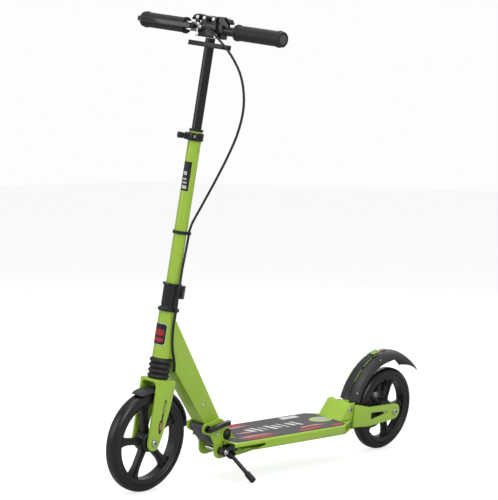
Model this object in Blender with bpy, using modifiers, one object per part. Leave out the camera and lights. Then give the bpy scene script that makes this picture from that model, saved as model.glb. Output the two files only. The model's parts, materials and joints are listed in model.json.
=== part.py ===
"""Folding kick scooter with two large wheels, front suspension, hand brake and kickstand.

All sizes are millimetres; the helper functions turn them into metres. The scooter is described upright, with
+X forwards, +Y to the rider's left and its origin on the ground under the front axle. One empty then leans the
whole of it onto its kickstand and centres it on the ground.
"""

import math

import bmesh
import bpy
from mathutils import Euler, Matrix, Vector

MM = 0.001
GAP = 0.3
MERGE = 0.0001

# Stance
LEAN_DEG = 7.785
GROUND_LIFT = 0.39
CENTRE_X = 367.02
CENTRE_Y = -121.69

# Wheels
WHEELBASE = 744.0
FRONT_RADIUS = 100.0
REAR_RADIUS = 90.0
TYRE_HALF_WIDTH = 14.5
TYRE_EDGE = 11.6
TYRE_DEPTH = 14.0
RIM_HALF_WIDTH = 13.0
RIM_RING = 11.0
SPOKES = 5
SPOKE_HALF_DEPTH = 6.0
SPOKE_HALF_WIDTH = 7.0
SPOKE_FLARE = 6.0
HUB_RADIUS = 19.0
HUB_HALF_WIDTH = 14.2
BEARING_RADIUS = 11.0
BEARING_BORE = 4.2
BEARING_WIDTH = 7.0
AXLE_RADIUS = 3.9
AXLE_HEAD_RADIUS = 7.0
WHEEL_STEPS = 48

# Steering axis, measured from the front axle
RAKE_DEG = 4.70
AXLE_OFFSET = 7.3
COLUMN_RADIUS = 12.7
COLUMN_WALL = 1.5
COLUMN_BOTTOM = 148.0
COLUMN_TOP = 605.0
SPRING_TOP = 250.0
SPRING_STOP_THICK = 7.0
INNER_RADIUS = 9.5
INNER_BOTTOM = 487.0
BAR_STATION = 801.7
HEAD_TUBE_RADIUS = 17.5
HEAD_TUBE_BORE = 14.9
HEAD_TUBE_BOTTOM = 165.0
HEAD_TUBE_TOP = 256.0
CROWN_TOP = 123.3
STEM_RADIUS = 10.8
STEM_TOP = 205.0
BELLOWS_TOP = 164.5
BELLOWS_RADIUS = 21.5
BELLOWS_FOLDS = 4
COLLAR_STATION = 594.5
COLLAR_HEIGHT = 15.0
COLLAR_TURN_DEG = -25.0
RING_CLIP_STATION = 409.5
GRIP_HOLDER_STATION = 771.0

# Fork
FORK_HALF_WIDTH = 23.0
FORK_WALL = 4.0
FORK_FRONT = 23.0
DROPOUT_RADIUS = 15.5
AXLE_HOLE = 4.2

# Handlebar
HINGE_Y = 24.0
HINGE_DROP = 12.0
HINGE_PIN_RADIUS = 2.2
BAR_RADIUS = 9.0
BAR_END = 174.3
GRIP_RADIUS = 14.8
GRIP_START = 65.0
GRIP_END = 180.0
GRIP_FLANGE = 1.2
LATCH_RISE = 19.0
LATCH_INNER_Y = 12.0
LATCH_OUTER_Y = 31.0
LATCH_RADIUS = 6.0
LUG_END = 12.4

# Deck
DECK_HALF_WIDTH = 58.8
DECK_TOP = 84.5
DECK_DEPTH = 20.5
DECK_FRONT = -200.0
DECK_REAR = -612.0
DECK_TAPER_START = -546.0
DECK_TAPER_END = -602.0
DECK_REAR_HALF = 31.5
DECK_WALL = 2.6
DECK_RIB_Y = 28.0
DECK_LIP = 8.0
DECK_BODY_FRONT = -240.0
DECK_CORNER = 5.0
SHEET_END = -563.0

# Fold
PIVOT = (-212.0, 95.0)
CLAMP_SHAFT = (-150.0, 112.0)
KICKSTAND_BOLT = (-195.0, 63.0)
CHEEK_INNER = 18.3
CHEEK_WALL = 4.0
BEAM_HALF_WIDTH = 17.0
PIVOT_EAR = 12.0

# Kickstand
KICKSTAND_TILT_DEG = 30.0
KICKSTAND_HUB = (-213.0, 37.0, 56.4)
KICKSTAND_LEG_RADIUS = 4.2
KICKSTAND_LENGTH = 75.0

# Rear end
FENDER_HINGE = (-596.0, 107.0)
FENDER_CENTRE = (-735.2, 93.4)
FENDER_RADIUS = 127.8
REAR_PLATE_INNER = 32.5
REAR_PLATE_WALL = 4.0
BRAKE_BLOCK = 36.0
ROTOR_RADIUS = 50.0
ROTOR_Y = -21.5
CABLE_RADIUS = 2.4

COLOURS = {
    "green": ((0.36, 0.62, 0.055), 0.0, 0.35),
    "black_metal": ((0.012, 0.012, 0.014), 0.6, 0.4),
    "black_plastic": ((0.02, 0.02, 0.022), 0.0, 0.5),
    "rubber": ((0.018, 0.018, 0.02), 0.0, 0.75),
    "tyre": ((0.016, 0.016, 0.018), 0.0, 0.45),
    "steel": ((0.62, 0.62, 0.64), 1.0, 0.3),
    "grip_tape": ((0.09, 0.09, 0.1), 0.0, 0.8),
    "grey_plastic": ((0.075, 0.075, 0.085), 0.0, 0.6),
}


def clear_scene():
    """Removes everything that the file opened with."""
    for obj in list(bpy.data.objects):
        bpy.data.objects.remove(obj, do_unlink=True)
    for collection in list(bpy.data.collections):
        bpy.data.collections.remove(collection)


def make_collection(name):
    collection = bpy.data.collections.new(name)
    bpy.context.scene.collection.children.link(collection)
    return collection


clear_scene()
PARTS = make_collection("kick_scooter")
CUTTERS = make_collection("cutters")


def material(name):
    """Returns the named finish, made on first use."""
    found = bpy.data.materials.get(name)
    if found:
        return found
    colour, metallic, roughness = COLOURS[name]
    made = bpy.data.materials.new(name)
    made.use_nodes = True
    shader = made.node_tree.nodes["Principled BSDF"]
    shader.inputs["Base Color"].default_value = (*colour, 1.0)
    shader.inputs["Metallic"].default_value = metallic
    shader.inputs["Roughness"].default_value = roughness
    made.diffuse_color = (*colour, 1.0)
    return made


def scaled(point):
    return Vector(point) * MM


def empty(name, parent, location=(0, 0, 0), rotation_deg=(0, 0, 0)):
    """An axis or frame that pieces hang on."""
    obj = bpy.data.objects.new(name, None)
    PARTS.objects.link(obj)
    obj.parent = parent
    obj.location = scaled(location)
    obj.rotation_euler = Euler([math.radians(a) for a in rotation_deg])
    return obj


def add_mesh(name, mesh, collection):
    obj = bpy.data.objects.new(name, mesh)
    collection.objects.link(obj)
    return obj


def from_bmesh(name, bm):
    mesh = bpy.data.meshes.new(name)
    bm.to_mesh(mesh)
    bm.free()
    return add_mesh(name, mesh, CUTTERS)


def from_curve(name, curve):
    """Turns a curve into a welded mesh object and removes the curve."""
    source = bpy.data.objects.new(name + "_curve", curve)
    CUTTERS.objects.link(source)
    graph = bpy.context.evaluated_depsgraph_get()
    mesh = bpy.data.meshes.new_from_object(source.evaluated_get(graph))
    bpy.data.objects.remove(source, do_unlink=True)
    bm = bmesh.new()
    bm.from_mesh(mesh)
    bmesh.ops.remove_doubles(bm, verts=bm.verts, dist=MERGE * 0.1)
    bm.to_mesh(mesh)
    bm.free()
    mesh.name = name
    return add_mesh(name, mesh, CUTTERS)


def shift(obj, offset):
    """Moves a shape's points, not its origin."""
    obj.data.transform(Matrix.Translation(scaled(offset)))
    return obj


def turn(obj, axis, degrees):
    """Turns a shape's points about its origin."""
    obj.data.transform(Matrix.Rotation(math.radians(degrees), 4, axis))
    return obj


def outline_plate(name, outline, thickness):
    """A flat outline in X and Z, with its thickness centred on Y."""
    curve = bpy.data.curves.new(name, "CURVE")
    curve.dimensions = "2D"
    curve.fill_mode = "BOTH"
    curve.extrude = thickness * MM / 2
    spline = curve.splines.new("POLY")
    spline.points.add(len(outline) - 1)
    for point, (x, z) in zip(spline.points, outline):
        point.co = (x * MM, z * MM, 0, 1)
    spline.use_cyclic_u = True
    return turn(from_curve(name, curve), "X", 90)


def plate_across(name, outline, thickness):
    """A flat outline in Y and Z, with its thickness centred on X."""
    return turn(outline_plate(name, outline, thickness), "Z", 90)


def plate_flat(name, outline, thickness):
    """A flat outline in X and Y, with its thickness centred on Z."""
    return turn(outline_plate(name, outline, thickness), "X", -90)


def arc(centre, radius, start_deg, end_deg, count):
    """Points on a circle's arc."""
    points = []
    for i in range(count + 1):
        angle = math.radians(start_deg + (end_deg - start_deg) * i / count)
        points.append((centre[0] + radius * math.cos(angle), centre[1] + radius * math.sin(angle)))
    return points


def rounded_box_outline(half_width, bottom, top, corner, count=3):
    """A rectangle with round corners, anticlockwise."""
    points = []
    for x, z, start in (
        (half_width - corner, bottom + corner, -90),
        (half_width - corner, top - corner, 0),
        (-half_width + corner, top - corner, 90),
        (-half_width + corner, bottom + corner, 180),
    ):
        points += arc((x, z), corner, start, start + 90, count)
    return points


def turned(name, profile, steps, closed, angle_deg=360.0, start_deg=0.0):
    """Turns a profile of (radius, height) points about Z; an open profile starts and ends on the axis."""
    bm = bmesh.new()
    start = math.radians(start_deg)
    points = [bm.verts.new((r * MM * math.cos(start), r * MM * math.sin(start), z * MM)) for r, z in profile]
    for first, second in zip(points, points[1:]):
        bm.edges.new((first, second))
    if closed:
        bm.edges.new((points[-1], points[0]))
    obj = from_bmesh(name, bm)
    screw = obj.modifiers.new("turn", "SCREW")
    screw.axis = "Z"
    screw.angle = math.radians(angle_deg)
    screw.steps = steps
    screw.render_steps = steps
    screw.use_merge_vertices = True
    screw.merge_threshold = MERGE * 0.1
    return obj


def ring(name, outer, inner, bottom, top, steps=32):
    """A plain tube or washer on Z."""
    profile = [(outer, top), (outer, bottom), (inner, bottom), (inner, top)]
    return turned(name, profile, steps, True)


def rod(name, radius, start, end, sides=24, top_radius=None):
    """A solid round bar between two points."""
    first = scaled(start)
    second = scaled(end)
    span = second - first
    bm = bmesh.new()
    tip = radius if top_radius is None else top_radius
    bmesh.ops.create_cone(
        bm, cap_ends=True, segments=sides, radius1=radius * MM, radius2=tip * MM, depth=span.length
    )
    spin = span.to_track_quat("Z", "Y").to_matrix().to_4x4()
    bmesh.ops.transform(bm, matrix=Matrix.Translation((first + second) / 2) @ spin, verts=bm.verts)
    return from_bmesh(name, bm)


def block(name, low, high):
    """A box between two corners."""
    bm = bmesh.new()
    bmesh.ops.create_cube(bm, size=1.0)
    size = scaled(high) - scaled(low)
    centre = (scaled(high) + scaled(low)) / 2
    bmesh.ops.transform(bm, matrix=Matrix.Translation(centre) @ Matrix.Diagonal((*size, 1.0)), verts=bm.verts)
    return from_bmesh(name, bm)


def smooth_route(points, spacing):
    """Points every few millimetres on a smooth curve through a route."""
    route = [Vector(p) for p in points]
    ends = [2 * route[0] - route[1]] + route + [2 * route[-1] - route[-2]]
    result = []
    for i in range(1, len(ends) - 2):
        before, first, second, after = ends[i - 1 : i + 3]
        count = max(1, round((second - first).length / spacing))
        for k in range(count):
            t = k / count
            result.append(
                0.5
                * (
                    2 * first
                    + (second - before) * t
                    + (2 * before - 5 * first + 4 * second - after) * t**2
                    + (3 * first - before - 3 * second + after) * t**3
                )
            )
    result.append(route[-1])
    return result


def wire(name, points, radius, resolution=2):
    """A round cord through a list of points."""
    curve = bpy.data.curves.new(name, "CURVE")
    curve.dimensions = "3D"
    curve.bevel_depth = radius * MM
    curve.bevel_resolution = resolution
    curve.use_fill_caps = True
    spline = curve.splines.new("POLY")
    spline.points.add(len(points) - 1)
    for point, place in zip(spline.points, points):
        point.co = (*scaled(place), 1)
    return from_curve(name, curve)


def boolean(obj, other, operation):
    """Cuts or joins with another shape, which is then kept as a hidden guide."""
    step = obj.modifiers.new(operation.lower(), "BOOLEAN")
    step.operation = operation
    step.object = other
    step.solver = "EXACT"
    other.hide_render = True
    other.display_type = "WIRE"
    other.parent = obj
    return obj


def cut(obj, *others):
    for other in others:
        boolean(obj, other, "DIFFERENCE")
    return obj


def join(obj, *others):
    for other in others:
        boolean(obj, other, "UNION")
    return obj


def bevel(obj, width, segments=2, angle_deg=40):
    step = obj.modifiers.new("bevel", "BEVEL")
    step.width = width * MM
    step.segments = segments
    step.limit_method = "ANGLE"
    step.angle_limit = math.radians(angle_deg)
    return obj


def solidify(obj, thickness, offset=0.0):
    step = obj.modifiers.new("wall", "SOLIDIFY")
    step.thickness = thickness * MM
    step.offset = offset
    step.use_even_offset = True
    return obj


def part(obj, parent, finish, location=(0, 0, 0), rotation_deg=(0, 0, 0)):
    """Makes a finished shape one of the scooter's parts."""
    CUTTERS.objects.unlink(obj)
    PARTS.objects.link(obj)
    obj.parent = parent
    obj.location = scaled(location)
    obj.rotation_euler = Euler([math.radians(a) for a in rotation_deg])
    obj.data.materials.clear()
    obj.data.materials.append(material(finish))
    obj.data.shade_smooth()
    obj.data.set_sharp_from_angle(angle=math.radians(35))
    return obj


# ---------------------------------------------------------------- wheels


def tyre(name, radius, hub):
    """A solid tyre with round shoulders."""
    shoulder = radius - TYRE_EDGE
    flat = TYRE_HALF_WIDTH - TYRE_EDGE
    seat = radius - TYRE_DEPTH
    profile = arc((shoulder, flat), TYRE_EDGE, 90, 0, 3)
    profile += arc((shoulder, -flat), TYRE_EDGE, 0, -90, 3)
    profile += [(seat, -TYRE_HALF_WIDTH), (seat, TYRE_HALF_WIDTH)]
    return part(turned(name, profile, WHEEL_STEPS, True), hub, "tyre", rotation_deg=(90, 0, 0))


def spoke_window(name, ring_radius):
    """The space between two spokes, as an outline about the hub."""
    half_turn = math.pi / SPOKES
    side = []
    for radius, width in (
        (HUB_RADIUS + 7, SPOKE_HALF_WIDTH + 1),
        (HUB_RADIUS + 14, SPOKE_HALF_WIDTH),
        (ring_radius * 0.9, SPOKE_HALF_WIDTH + SPOKE_FLARE * 0.4),
        (ring_radius, SPOKE_HALF_WIDTH + SPOKE_FLARE),
    ):
        side.append((radius, half_turn - math.asin(width / radius)))
    rim_angle = side[-1][1]
    outline = [(r * math.cos(a), -r * math.sin(a)) for r, a in side]
    steps = 5
    for i in range(1, steps):
        angle = -rim_angle + 2 * rim_angle * i / steps
        outline.append((ring_radius * math.cos(angle), ring_radius * math.sin(angle)))
    outline += [(r * math.cos(a), r * math.sin(a)) for r, a in reversed(side)]
    return plate_flat(name, outline, 2 * RIM_HALF_WIDTH + 4)


def rim(name, radius, hub):
    """A moulded five-spoke rim with bearing seats in its hub."""
    seat = radius - TYRE_DEPTH - GAP
    ring_radius = seat - RIM_RING
    pocket = HUB_HALF_WIDTH - BEARING_WIDTH
    outer = [(HUB_RADIUS, HUB_HALF_WIDTH), (HUB_RADIUS, SPOKE_HALF_DEPTH), (ring_radius, SPOKE_HALF_DEPTH)]
    outer += [(ring_radius, RIM_HALF_WIDTH), (seat, RIM_HALF_WIDTH)]
    profile = outer + [(r, -z) for r, z in reversed(outer)]
    bore = [(BEARING_RADIUS + GAP, -HUB_HALF_WIDTH), (BEARING_RADIUS + GAP, -pocket), (AXLE_RADIUS + 3, -pocket)]
    profile += bore + [(r, -z) for r, z in reversed(bore)]
    wheel = turned(name, profile, 30, True)
    for i in range(SPOKES):
        window = spoke_window(name + "_window", ring_radius)
        turn(window, "Z", 360 / SPOKES * i + 90)
        cut(wheel, window)
    return part(wheel, hub, "black_plastic", rotation_deg=(90, 0, 0))


def bearing(name, hub, side):
    """One sealed ball bearing as a plain ring."""
    middle = side * (HUB_HALF_WIDTH - BEARING_WIDTH / 2 + 0.2)
    shape = ring(name, BEARING_RADIUS, BEARING_BORE, -BEARING_WIDTH / 2, BEARING_WIDTH / 2, 18)
    return part(shape, hub, "steel", location=(0, middle, 0), rotation_deg=(90, 0, 0))


def axle(name, parent, location, half_width):
    """A cross bolt with a domed head on the left and a nut-sized end on the right."""
    head = half_width + GAP
    profile = [(0, head + 4.5), (4.0, head + 4.5), (AXLE_HEAD_RADIUS, head + 2.5), (AXLE_HEAD_RADIUS, head)]
    profile += [(AXLE_RADIUS, head), (AXLE_RADIUS, -head), (6.5, -head), (6.5, -head - 4), (0, -head - 4)]
    return part(turned(name, profile, 16, False), parent, "steel", location=location, rotation_deg=(-90, 0, 0))


# ---------------------------------------------------------------- front end


def fork_outline():
    """The fork's side view about the steering axis."""
    points = [(FORK_FRONT - 1, CROWN_TOP), (-24.0, CROWN_TOP), (-28.0, CROWN_TOP - 4), (-28.5, 109.0)]
    points += [(-22.7, 61.7), (-14.2, 18.8)]
    points += arc((AXLE_OFFSET, 0), DROPOUT_RADIUS, 192, 365, 14)
    points += [(FORK_FRONT, 35.0), (FORK_FRONT, CROWN_TOP - 1)]
    return points


def fork_gap_outline():
    """The space for the wheel between the legs, seen from the front."""
    half = FORK_HALF_WIDTH - FORK_WALL
    roof = CROWN_TOP - 5
    corner = 9.0
    points = [(-half, -40.0), (half, -40.0)]
    points += arc((half - corner, roof - corner), corner, 0, 90, 4)
    points += arc((-half + corner, roof - corner), corner, 90, 180, 4)
    return points


def make_fork(steer):
    """Crown, two legs and the stem that slides in the steering tube."""
    fork = outline_plate("fork", fork_outline(), 2 * FORK_HALF_WIDTH)
    cut(fork, plate_across("fork_gap", fork_gap_outline(), 140))
    hole = ((AXLE_OFFSET, -40, 0), (AXLE_OFFSET, 40, 0))
    cut(fork, rod("fork_axle_hole", AXLE_HOLE, *hole))
    join(fork, rod("fork_stem", STEM_RADIUS, (0, 0, CROWN_TOP - 3), (0, 0, STEM_TOP), 24))
    return part(fork, steer, "green")


def make_front_fender(steer):
    """A curved mudguard that hugs the front tyre between the fork legs."""
    radius = FRONT_RADIUS + 6.6
    half = 17.0
    profile = [(radius - 7, half), (radius - 2, half), (radius, half - 3)]
    profile += [(r, -z) for r, z in reversed(profile)]
    fender = turned("front_fender", profile, 20, False, angle_deg=104, start_deg=61)
    solidify(fender, 2.0)
    return part(fender, steer, "black_plastic", location=(AXLE_OFFSET, 0, 0), rotation_deg=(90, 0, 0))


def make_bellows(steer):
    """A rubber boot with round folds over the suspension."""
    bottom = CROWN_TOP + GAP
    pitch = (BELLOWS_TOP - bottom) / BELLOWS_FOLDS
    profile = []
    for fold in range(BELLOWS_FOLDS):
        top = BELLOWS_TOP - fold * pitch
        profile += [(BELLOWS_RADIUS - 3.5, top - 0.4), (BELLOWS_RADIUS - 0.8, top - pitch * 0.25)]
        profile += [(BELLOWS_RADIUS, top - pitch * 0.5), (BELLOWS_RADIUS - 0.8, top - pitch * 0.75)]
    profile += [(BELLOWS_RADIUS - 3.5, bottom), (13.2, bottom), (13.2, BELLOWS_TOP - 0.4)]
    return part(turned("bellows", profile, 22, True), steer, "rubber")


def make_suspension_spring(steer):
    """The coil spring inside the steering tube."""
    turns = 5
    per_turn = 9
    radius = 8.2
    bottom = STEM_TOP + 1.8
    top = SPRING_TOP - 1.8
    points = []
    for i in range(turns * per_turn + 1):
        angle = 2 * math.pi * i / per_turn
        height = bottom + (top - bottom) * i / (turns * per_turn)
        points.append((radius * math.cos(angle), radius * math.sin(angle), height))
    return part(wire("suspension_spring", points, 1.4, 1), steer, "steel")


def make_front_wheel(steer):
    hub = empty("front_wheel_axis", steer, (AXLE_OFFSET, 0, 0))
    tyre("front_tyre", FRONT_RADIUS, hub)
    rim("front_rim", FRONT_RADIUS, hub)
    bearing("front_bearing_left", hub, 1)
    bearing("front_bearing_right", hub, -1)
    axle("front_axle", steer, (AXLE_OFFSET, 0, 0), FORK_HALF_WIDTH)


# ---------------------------------------------------------------- steering column


def make_column(steer):
    """The green steering tube, with the spring's stop across its bore."""
    bore = COLUMN_RADIUS - COLUMN_WALL
    stop = SPRING_TOP + SPRING_STOP_THICK
    profile = [(0, stop), (bore, stop), (bore, COLUMN_TOP), (COLUMN_RADIUS, COLUMN_TOP)]
    profile += [(COLUMN_RADIUS, COLUMN_BOTTOM), (bore, COLUMN_BOTTOM), (bore, SPRING_TOP), (0, SPRING_TOP)]
    column = turned("steering_tube", profile, 32, False)
    slot = block("column_slot", (0, -0.9, COLLAR_STATION - 29), (20, 0.9, COLUMN_TOP + 5))
    cut(column, turn(slot, "Z", COLLAR_TURN_DEG + 8))
    return part(column, steer, "green")


def make_headset_bearing(steer):
    """The lower steering bearing in the head tube."""
    bottom = HEAD_TUBE_BOTTOM + 3
    shape = ring("headset_bearing", HEAD_TUBE_BORE - GAP, COLUMN_RADIUS + GAP, bottom, bottom + 9, 32)
    return part(shape, steer, "steel")


def make_headset_clamp(steer):
    """The black clamp above the head tube: a flange, a ribbed barrel and a side block for its bolt."""
    base = HEAD_TUBE_TOP + GAP
    top = 310.5
    bore = COLUMN_RADIUS + GAP
    profile = [(18.6, top), (18.6, top - 4), (16.0, top - 5), (16.0, base + 12), (15.0, base + 9)]
    profile += [(17.5, base + 7), (21.0, base + 5), (21.0, base), (bore, base), (bore, top)]
    clamp = turned("headset_clamp", profile, 32, True)
    lug = block("headset_clamp_lug", (14.5, -7.0, 283), (25.5, 7.0, 308.5))
    join(clamp, turn(lug, "Z", 118))
    return part(clamp, steer, "black_metal")


def make_ring_clip(steer):
    """The clip that holds the brake cable against the steering tube."""
    bore = COLUMN_RADIUS + GAP
    clip = ring("cable_ring_clip", COLUMN_RADIUS + 2.6, bore, RING_CLIP_STATION - 3, RING_CLIP_STATION + 3, 32)
    eye_centre = CABLE_CLIP_POINT
    eye_low = (*eye_centre, RING_CLIP_STATION - 2.9)
    eye_high = (*eye_centre, RING_CLIP_STATION + 2.9)
    join(clip, rod("cable_eye", CABLE_RADIUS + 1.8, eye_low, eye_high, 20))
    cut(clip, rod("cable_eye_hole", CABLE_RADIUS + GAP, (*eye_centre, 380), (*eye_centre, 440), 16))
    cut(clip, rod("clip_bore", bore, (0, 0, 380), (0, 0, 440), 32))
    return part(clip, steer, "black_plastic")


def make_collar(steer):
    """Plastic bush, clamp ring and quick-release lever at the top of the steering tube."""
    bore = INNER_RADIUS + GAP
    lip = COLUMN_TOP + GAP
    sleeve = COLUMN_RADIUS - COLUMN_WALL - GAP
    profile = [(bore, lip + 4), (13.8, lip + 4), (13.8, lip), (sleeve, lip), (sleeve, lip - 42), (bore, lip - 42)]
    part(turned("collar_bushing", profile, 32, True), steer, "black_plastic")

    low = COLLAR_STATION - COLLAR_HEIGHT / 2
    high = COLLAR_STATION + COLLAR_HEIGHT / 2
    clamp = ring("collar_clamp", COLUMN_RADIUS + 3.3, COLUMN_RADIUS + GAP, low, high, 36)
    ears = block("collar_ears", (14.0, -6.5, low + 0.5), (20.0, 6.5, high - 0.5))
    slit = block("collar_slit", (8.0, -1.0, low - 2), (30.0, 1.0, high + 2))
    join(clamp, ears)
    cut(clamp, slit)
    turn(clamp, "Z", COLLAR_TURN_DEG)
    turn(ears, "Z", COLLAR_TURN_DEG)
    turn(slit, "Z", COLLAR_TURN_DEG)
    part(clamp, steer, "black_metal")

    turned_frame = empty("collar_frame", steer, rotation_deg=(0, 0, COLLAR_TURN_DEG))
    outline = arc((0, 0), 5.2, 90, 270, 8) + [(2.0, -5.5), (8.5, -6.0), (10.0, 0), (8.5, 6.0), (2.0, 5.5)]
    lever = outline_plate("collar_lever", outline, 12.0)
    bevel(lever, 0.8, 1)
    part(lever, turned_frame, "black_metal", location=(26.0, 0, COLLAR_STATION))


CABLE_CLIP_POINT = (-9.6, 13.6)


# ---------------------------------------------------------------- handlebar


def make_inner_tube(steer):
    """The black tube that slides in the steering tube and carries the handlebar."""
    top = BAR_STATION - 17.5
    profile = [(INNER_RADIUS, top), (INNER_RADIUS, INNER_BOTTOM)]
    profile += [(INNER_RADIUS - 1.5, INNER_BOTTOM), (INNER_RADIUS - 1.5, top)]
    return part(turned("inner_tube", profile, 32, True), steer, "black_metal")


def make_bar_head(bar):
    """The T-shaped block at the top of the inner tube, with hinge and latch ears on both sides."""
    head = outline_plate("bar_head", rounded_box_outline(13.0, -17.0, 12.0, 4.0), 40.0)
    ear_y = HINGE_Y
    for side in (-1, 1):
        hinge_ear = rod("hinge_ear", 5.0, (-12.5, side * ear_y, -HINGE_DROP), (12.5, side * ear_y, -HINGE_DROP), 20)
        web_middle = side * (ear_y - 3.5)
        hinge_web = block("hinge_web", (-12.2, web_middle - 3, -16.8), (12.2, web_middle + 3, -7.2))
        latch_y = side * LATCH_INNER_Y
        ear = rod("latch_ear", LATCH_RADIUS, (-12.5, latch_y, LATCH_RISE), (12.5, latch_y, LATCH_RISE), 20)
        ear_base = block("latch_base", (-12.2, latch_y - 5.7, 8.0), (12.2, latch_y + 5.7, LATCH_RISE))
        join(head, hinge_ear, hinge_web, ear, ear_base)
    for side in (-1, 1):
        slot_low = min(side * 18.2, side * 34.0)
        slot_high = max(side * 18.2, side * 34.0)
        cut(head, block("tongue_slot", (-7.6, slot_low, -20.0), (7.6, slot_high, -5.0)))
        centre = side * LATCH_INNER_Y
        cut(head, block("latch_slot", (-6.4, centre - 7.5, 12.6), (6.4, centre + 7.5, 30.0)))
        pin_y = side * ear_y
        cut(head, rod("pin_hole", HINGE_PIN_RADIUS + GAP, (-20, pin_y, -HINGE_DROP), (20, pin_y, -HINGE_DROP), 16))
        cut(head, rod("trunnion_hole", 2.6, (-20, centre, LATCH_RISE), (20, centre, LATCH_RISE), 12))
    part(head, bar, "black_metal")


def make_hinge_pin(name, bar, side):
    """One steel pin that a handle folds on."""
    y = side * HINGE_Y
    pin = rod(name, HINGE_PIN_RADIUS, (-12.4, 0, 0), (14.5, 0, 0), 16)
    join(pin, rod(name + "_head", 4.0, (12.8, 0, 0), (14.8, 0, 0), 16))
    part(pin, bar, "steel", location=(0, y, -HINGE_DROP))


def make_handle(name, hinge, side):
    """One folding half of the handlebar: hinge tongue, catch ears and tube."""
    lift = HINGE_DROP
    inner = 20.8 - HINGE_Y
    outline = [(inner, 6.0), (LUG_END, 6.0), (LUG_END, lift + 8.5), (inner, lift + 8.5)]
    handle = plate_across(name, [(side * y, z) for y, z in outline], 22.0)
    tongue = rod("tongue", 5.0, (-7.2, 0, 0), (7.2, 0, 0), 20)
    web_y = (0.0, 11.0)
    low_y = min(side * web_y[0], side * web_y[1])
    high_y = max(side * web_y[0], side * web_y[1])
    web = block("tongue_web", (-7.0, low_y, -4.4), (7.0, high_y, 9.0))
    tube = rod("tube", BAR_RADIUS, (0, side * 8, lift), (0, side * (BAR_END - HINGE_Y), lift), 24)
    catch_y = side * (LATCH_OUTER_Y - HINGE_Y)
    catch_z = LATCH_RISE + lift
    ear = rod("catch_ear", 4.6, (-10.8, catch_y, catch_z), (10.8, catch_y, catch_z), 16)
    ear_base = block("catch_base", (-10.6, catch_y - 4.4, lift + 4), (10.6, catch_y + 4.4, catch_z))
    join(handle, tongue, web, tube, ear, ear_base)
    cut(handle, block("catch_slot", (-6.4, catch_y - 9, lift + 9.2), (6.4, catch_y + 9, catch_z + 9)))
    cut(handle, rod("tongue_hole", HINGE_PIN_RADIUS + GAP, (-20, 0, 0), (20, 0, 0), 16))
    join(handle, rod("catch_pin", 2.0, (-8, catch_y, catch_z), (8, catch_y, catch_z), 12))
    part(handle, hinge, "black_metal")


def make_grip(name, hinge, side):
    """A rubber grip with a flange at each end and a closed outer cap."""
    length = GRIP_END - GRIP_START
    bore = BAR_RADIUS + GAP
    wide = GRIP_RADIUS + GRIP_FLANGE
    profile = [(0, length), (GRIP_RADIUS - 1, length), (GRIP_RADIUS, length - 1.5), (GRIP_RADIUS, length - 7)]
    profile += [(wide, length - 8), (wide, length - 10), (GRIP_RADIUS - 0.6, length - 11), (GRIP_RADIUS - 0.6, 5)]
    profile += [(wide, 4), (wide, 1), (wide - 1, 0), (bore, 0), (bore, BAR_END - GRIP_START + GAP)]
    profile += [(0, BAR_END - GRIP_START + GAP)]
    spin = -90 if side > 0 else 90
    place = (0, side * (GRIP_START - HINGE_Y), HINGE_DROP)
    part(turned(name, profile, 22, False), hinge, "rubber", location=place, rotation_deg=(spin, 0, 0))


def make_latch(name, hinge, side):
    """An over-centre latch that holds a handle straight: it turns on the head and hooks the handle's pin."""
    reach = LATCH_OUTER_Y - LATCH_INNER_Y
    outline = arc((0, 0), 5.6, 90, 270, 8)
    outline += [(reach - 3.2, -5.4)] + arc((reach, 0), 2.6, 180, 80, 4)
    outline += [(reach + 3.5, 2.0), (reach + 10.0, -0.7), (reach + 17.0, -6.0), (reach + 19.0, -3.5)]
    outline += [(reach + 14.0, 3.5), (reach + 6.0, 6.3), (reach, 6.8)]
    shape = plate_across(name, [(side * y, z) for y, z in outline], 12.0)
    join(shape, rod("latch_trunnion", 2.2, (-12.4, 0, 0), (12.4, 0, 0), 12))
    part(shape, hinge, "black_metal")


def make_handlebar(steer):
    bar = empty("bar_axis", steer, (0, 0, BAR_STATION))
    make_bar_head(bar)
    for side, word in ((1, "left"), (-1, "right")):
        make_hinge_pin("handle_pin_" + word, bar, side)
        hinge = empty("handle_hinge_" + word, bar, (0, side * HINGE_Y, -HINGE_DROP))
        make_handle("handle_" + word, hinge, side)
        make_grip("grip_" + word, hinge, side)
        latch = empty("latch_hinge_" + word, bar, (0, side * LATCH_INNER_Y, LATCH_RISE))
        make_latch("latch_" + word, latch, side)
    return bar


def make_grip_holder(steer):
    """The clip below the bar whose prongs hold the folded handles."""
    inner = BAR_RADIUS + 0.9
    outer = inner + 2.6
    reach = 44.0
    outline = [(reach, inner), (reach, outer), (16.0, outer), (8.0, 13.5)]
    outline += [(-x, y) for x, y in reversed(outline)]
    outline += [(-x, -y) for x, y in outline]
    shape = turn(plate_flat("grip_holder", outline, 9.5), "Z", 90)
    pocket_start = HINGE_Y + HINGE_DROP - BAR_RADIUS - 0.9
    for side in (-1, 1):
        low_y = min(side * pocket_start, side * (reach + 5))
        high_y = max(side * pocket_start, side * (reach + 5))
        cut(shape, block("prong_gap", (-inner, low_y, -10), (inner, high_y, 10)))
    cut(shape, rod("holder_bore", INNER_RADIUS + GAP, (0, 0, -10), (0, 0, 10), 32))
    part(shape, steer, "black_plastic", location=(0, 0, GRIP_HOLDER_STATION))


LEVER_PIVOT = (27.5, -30.0, 0.0)
BARREL_END_Y = -8.0


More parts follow.
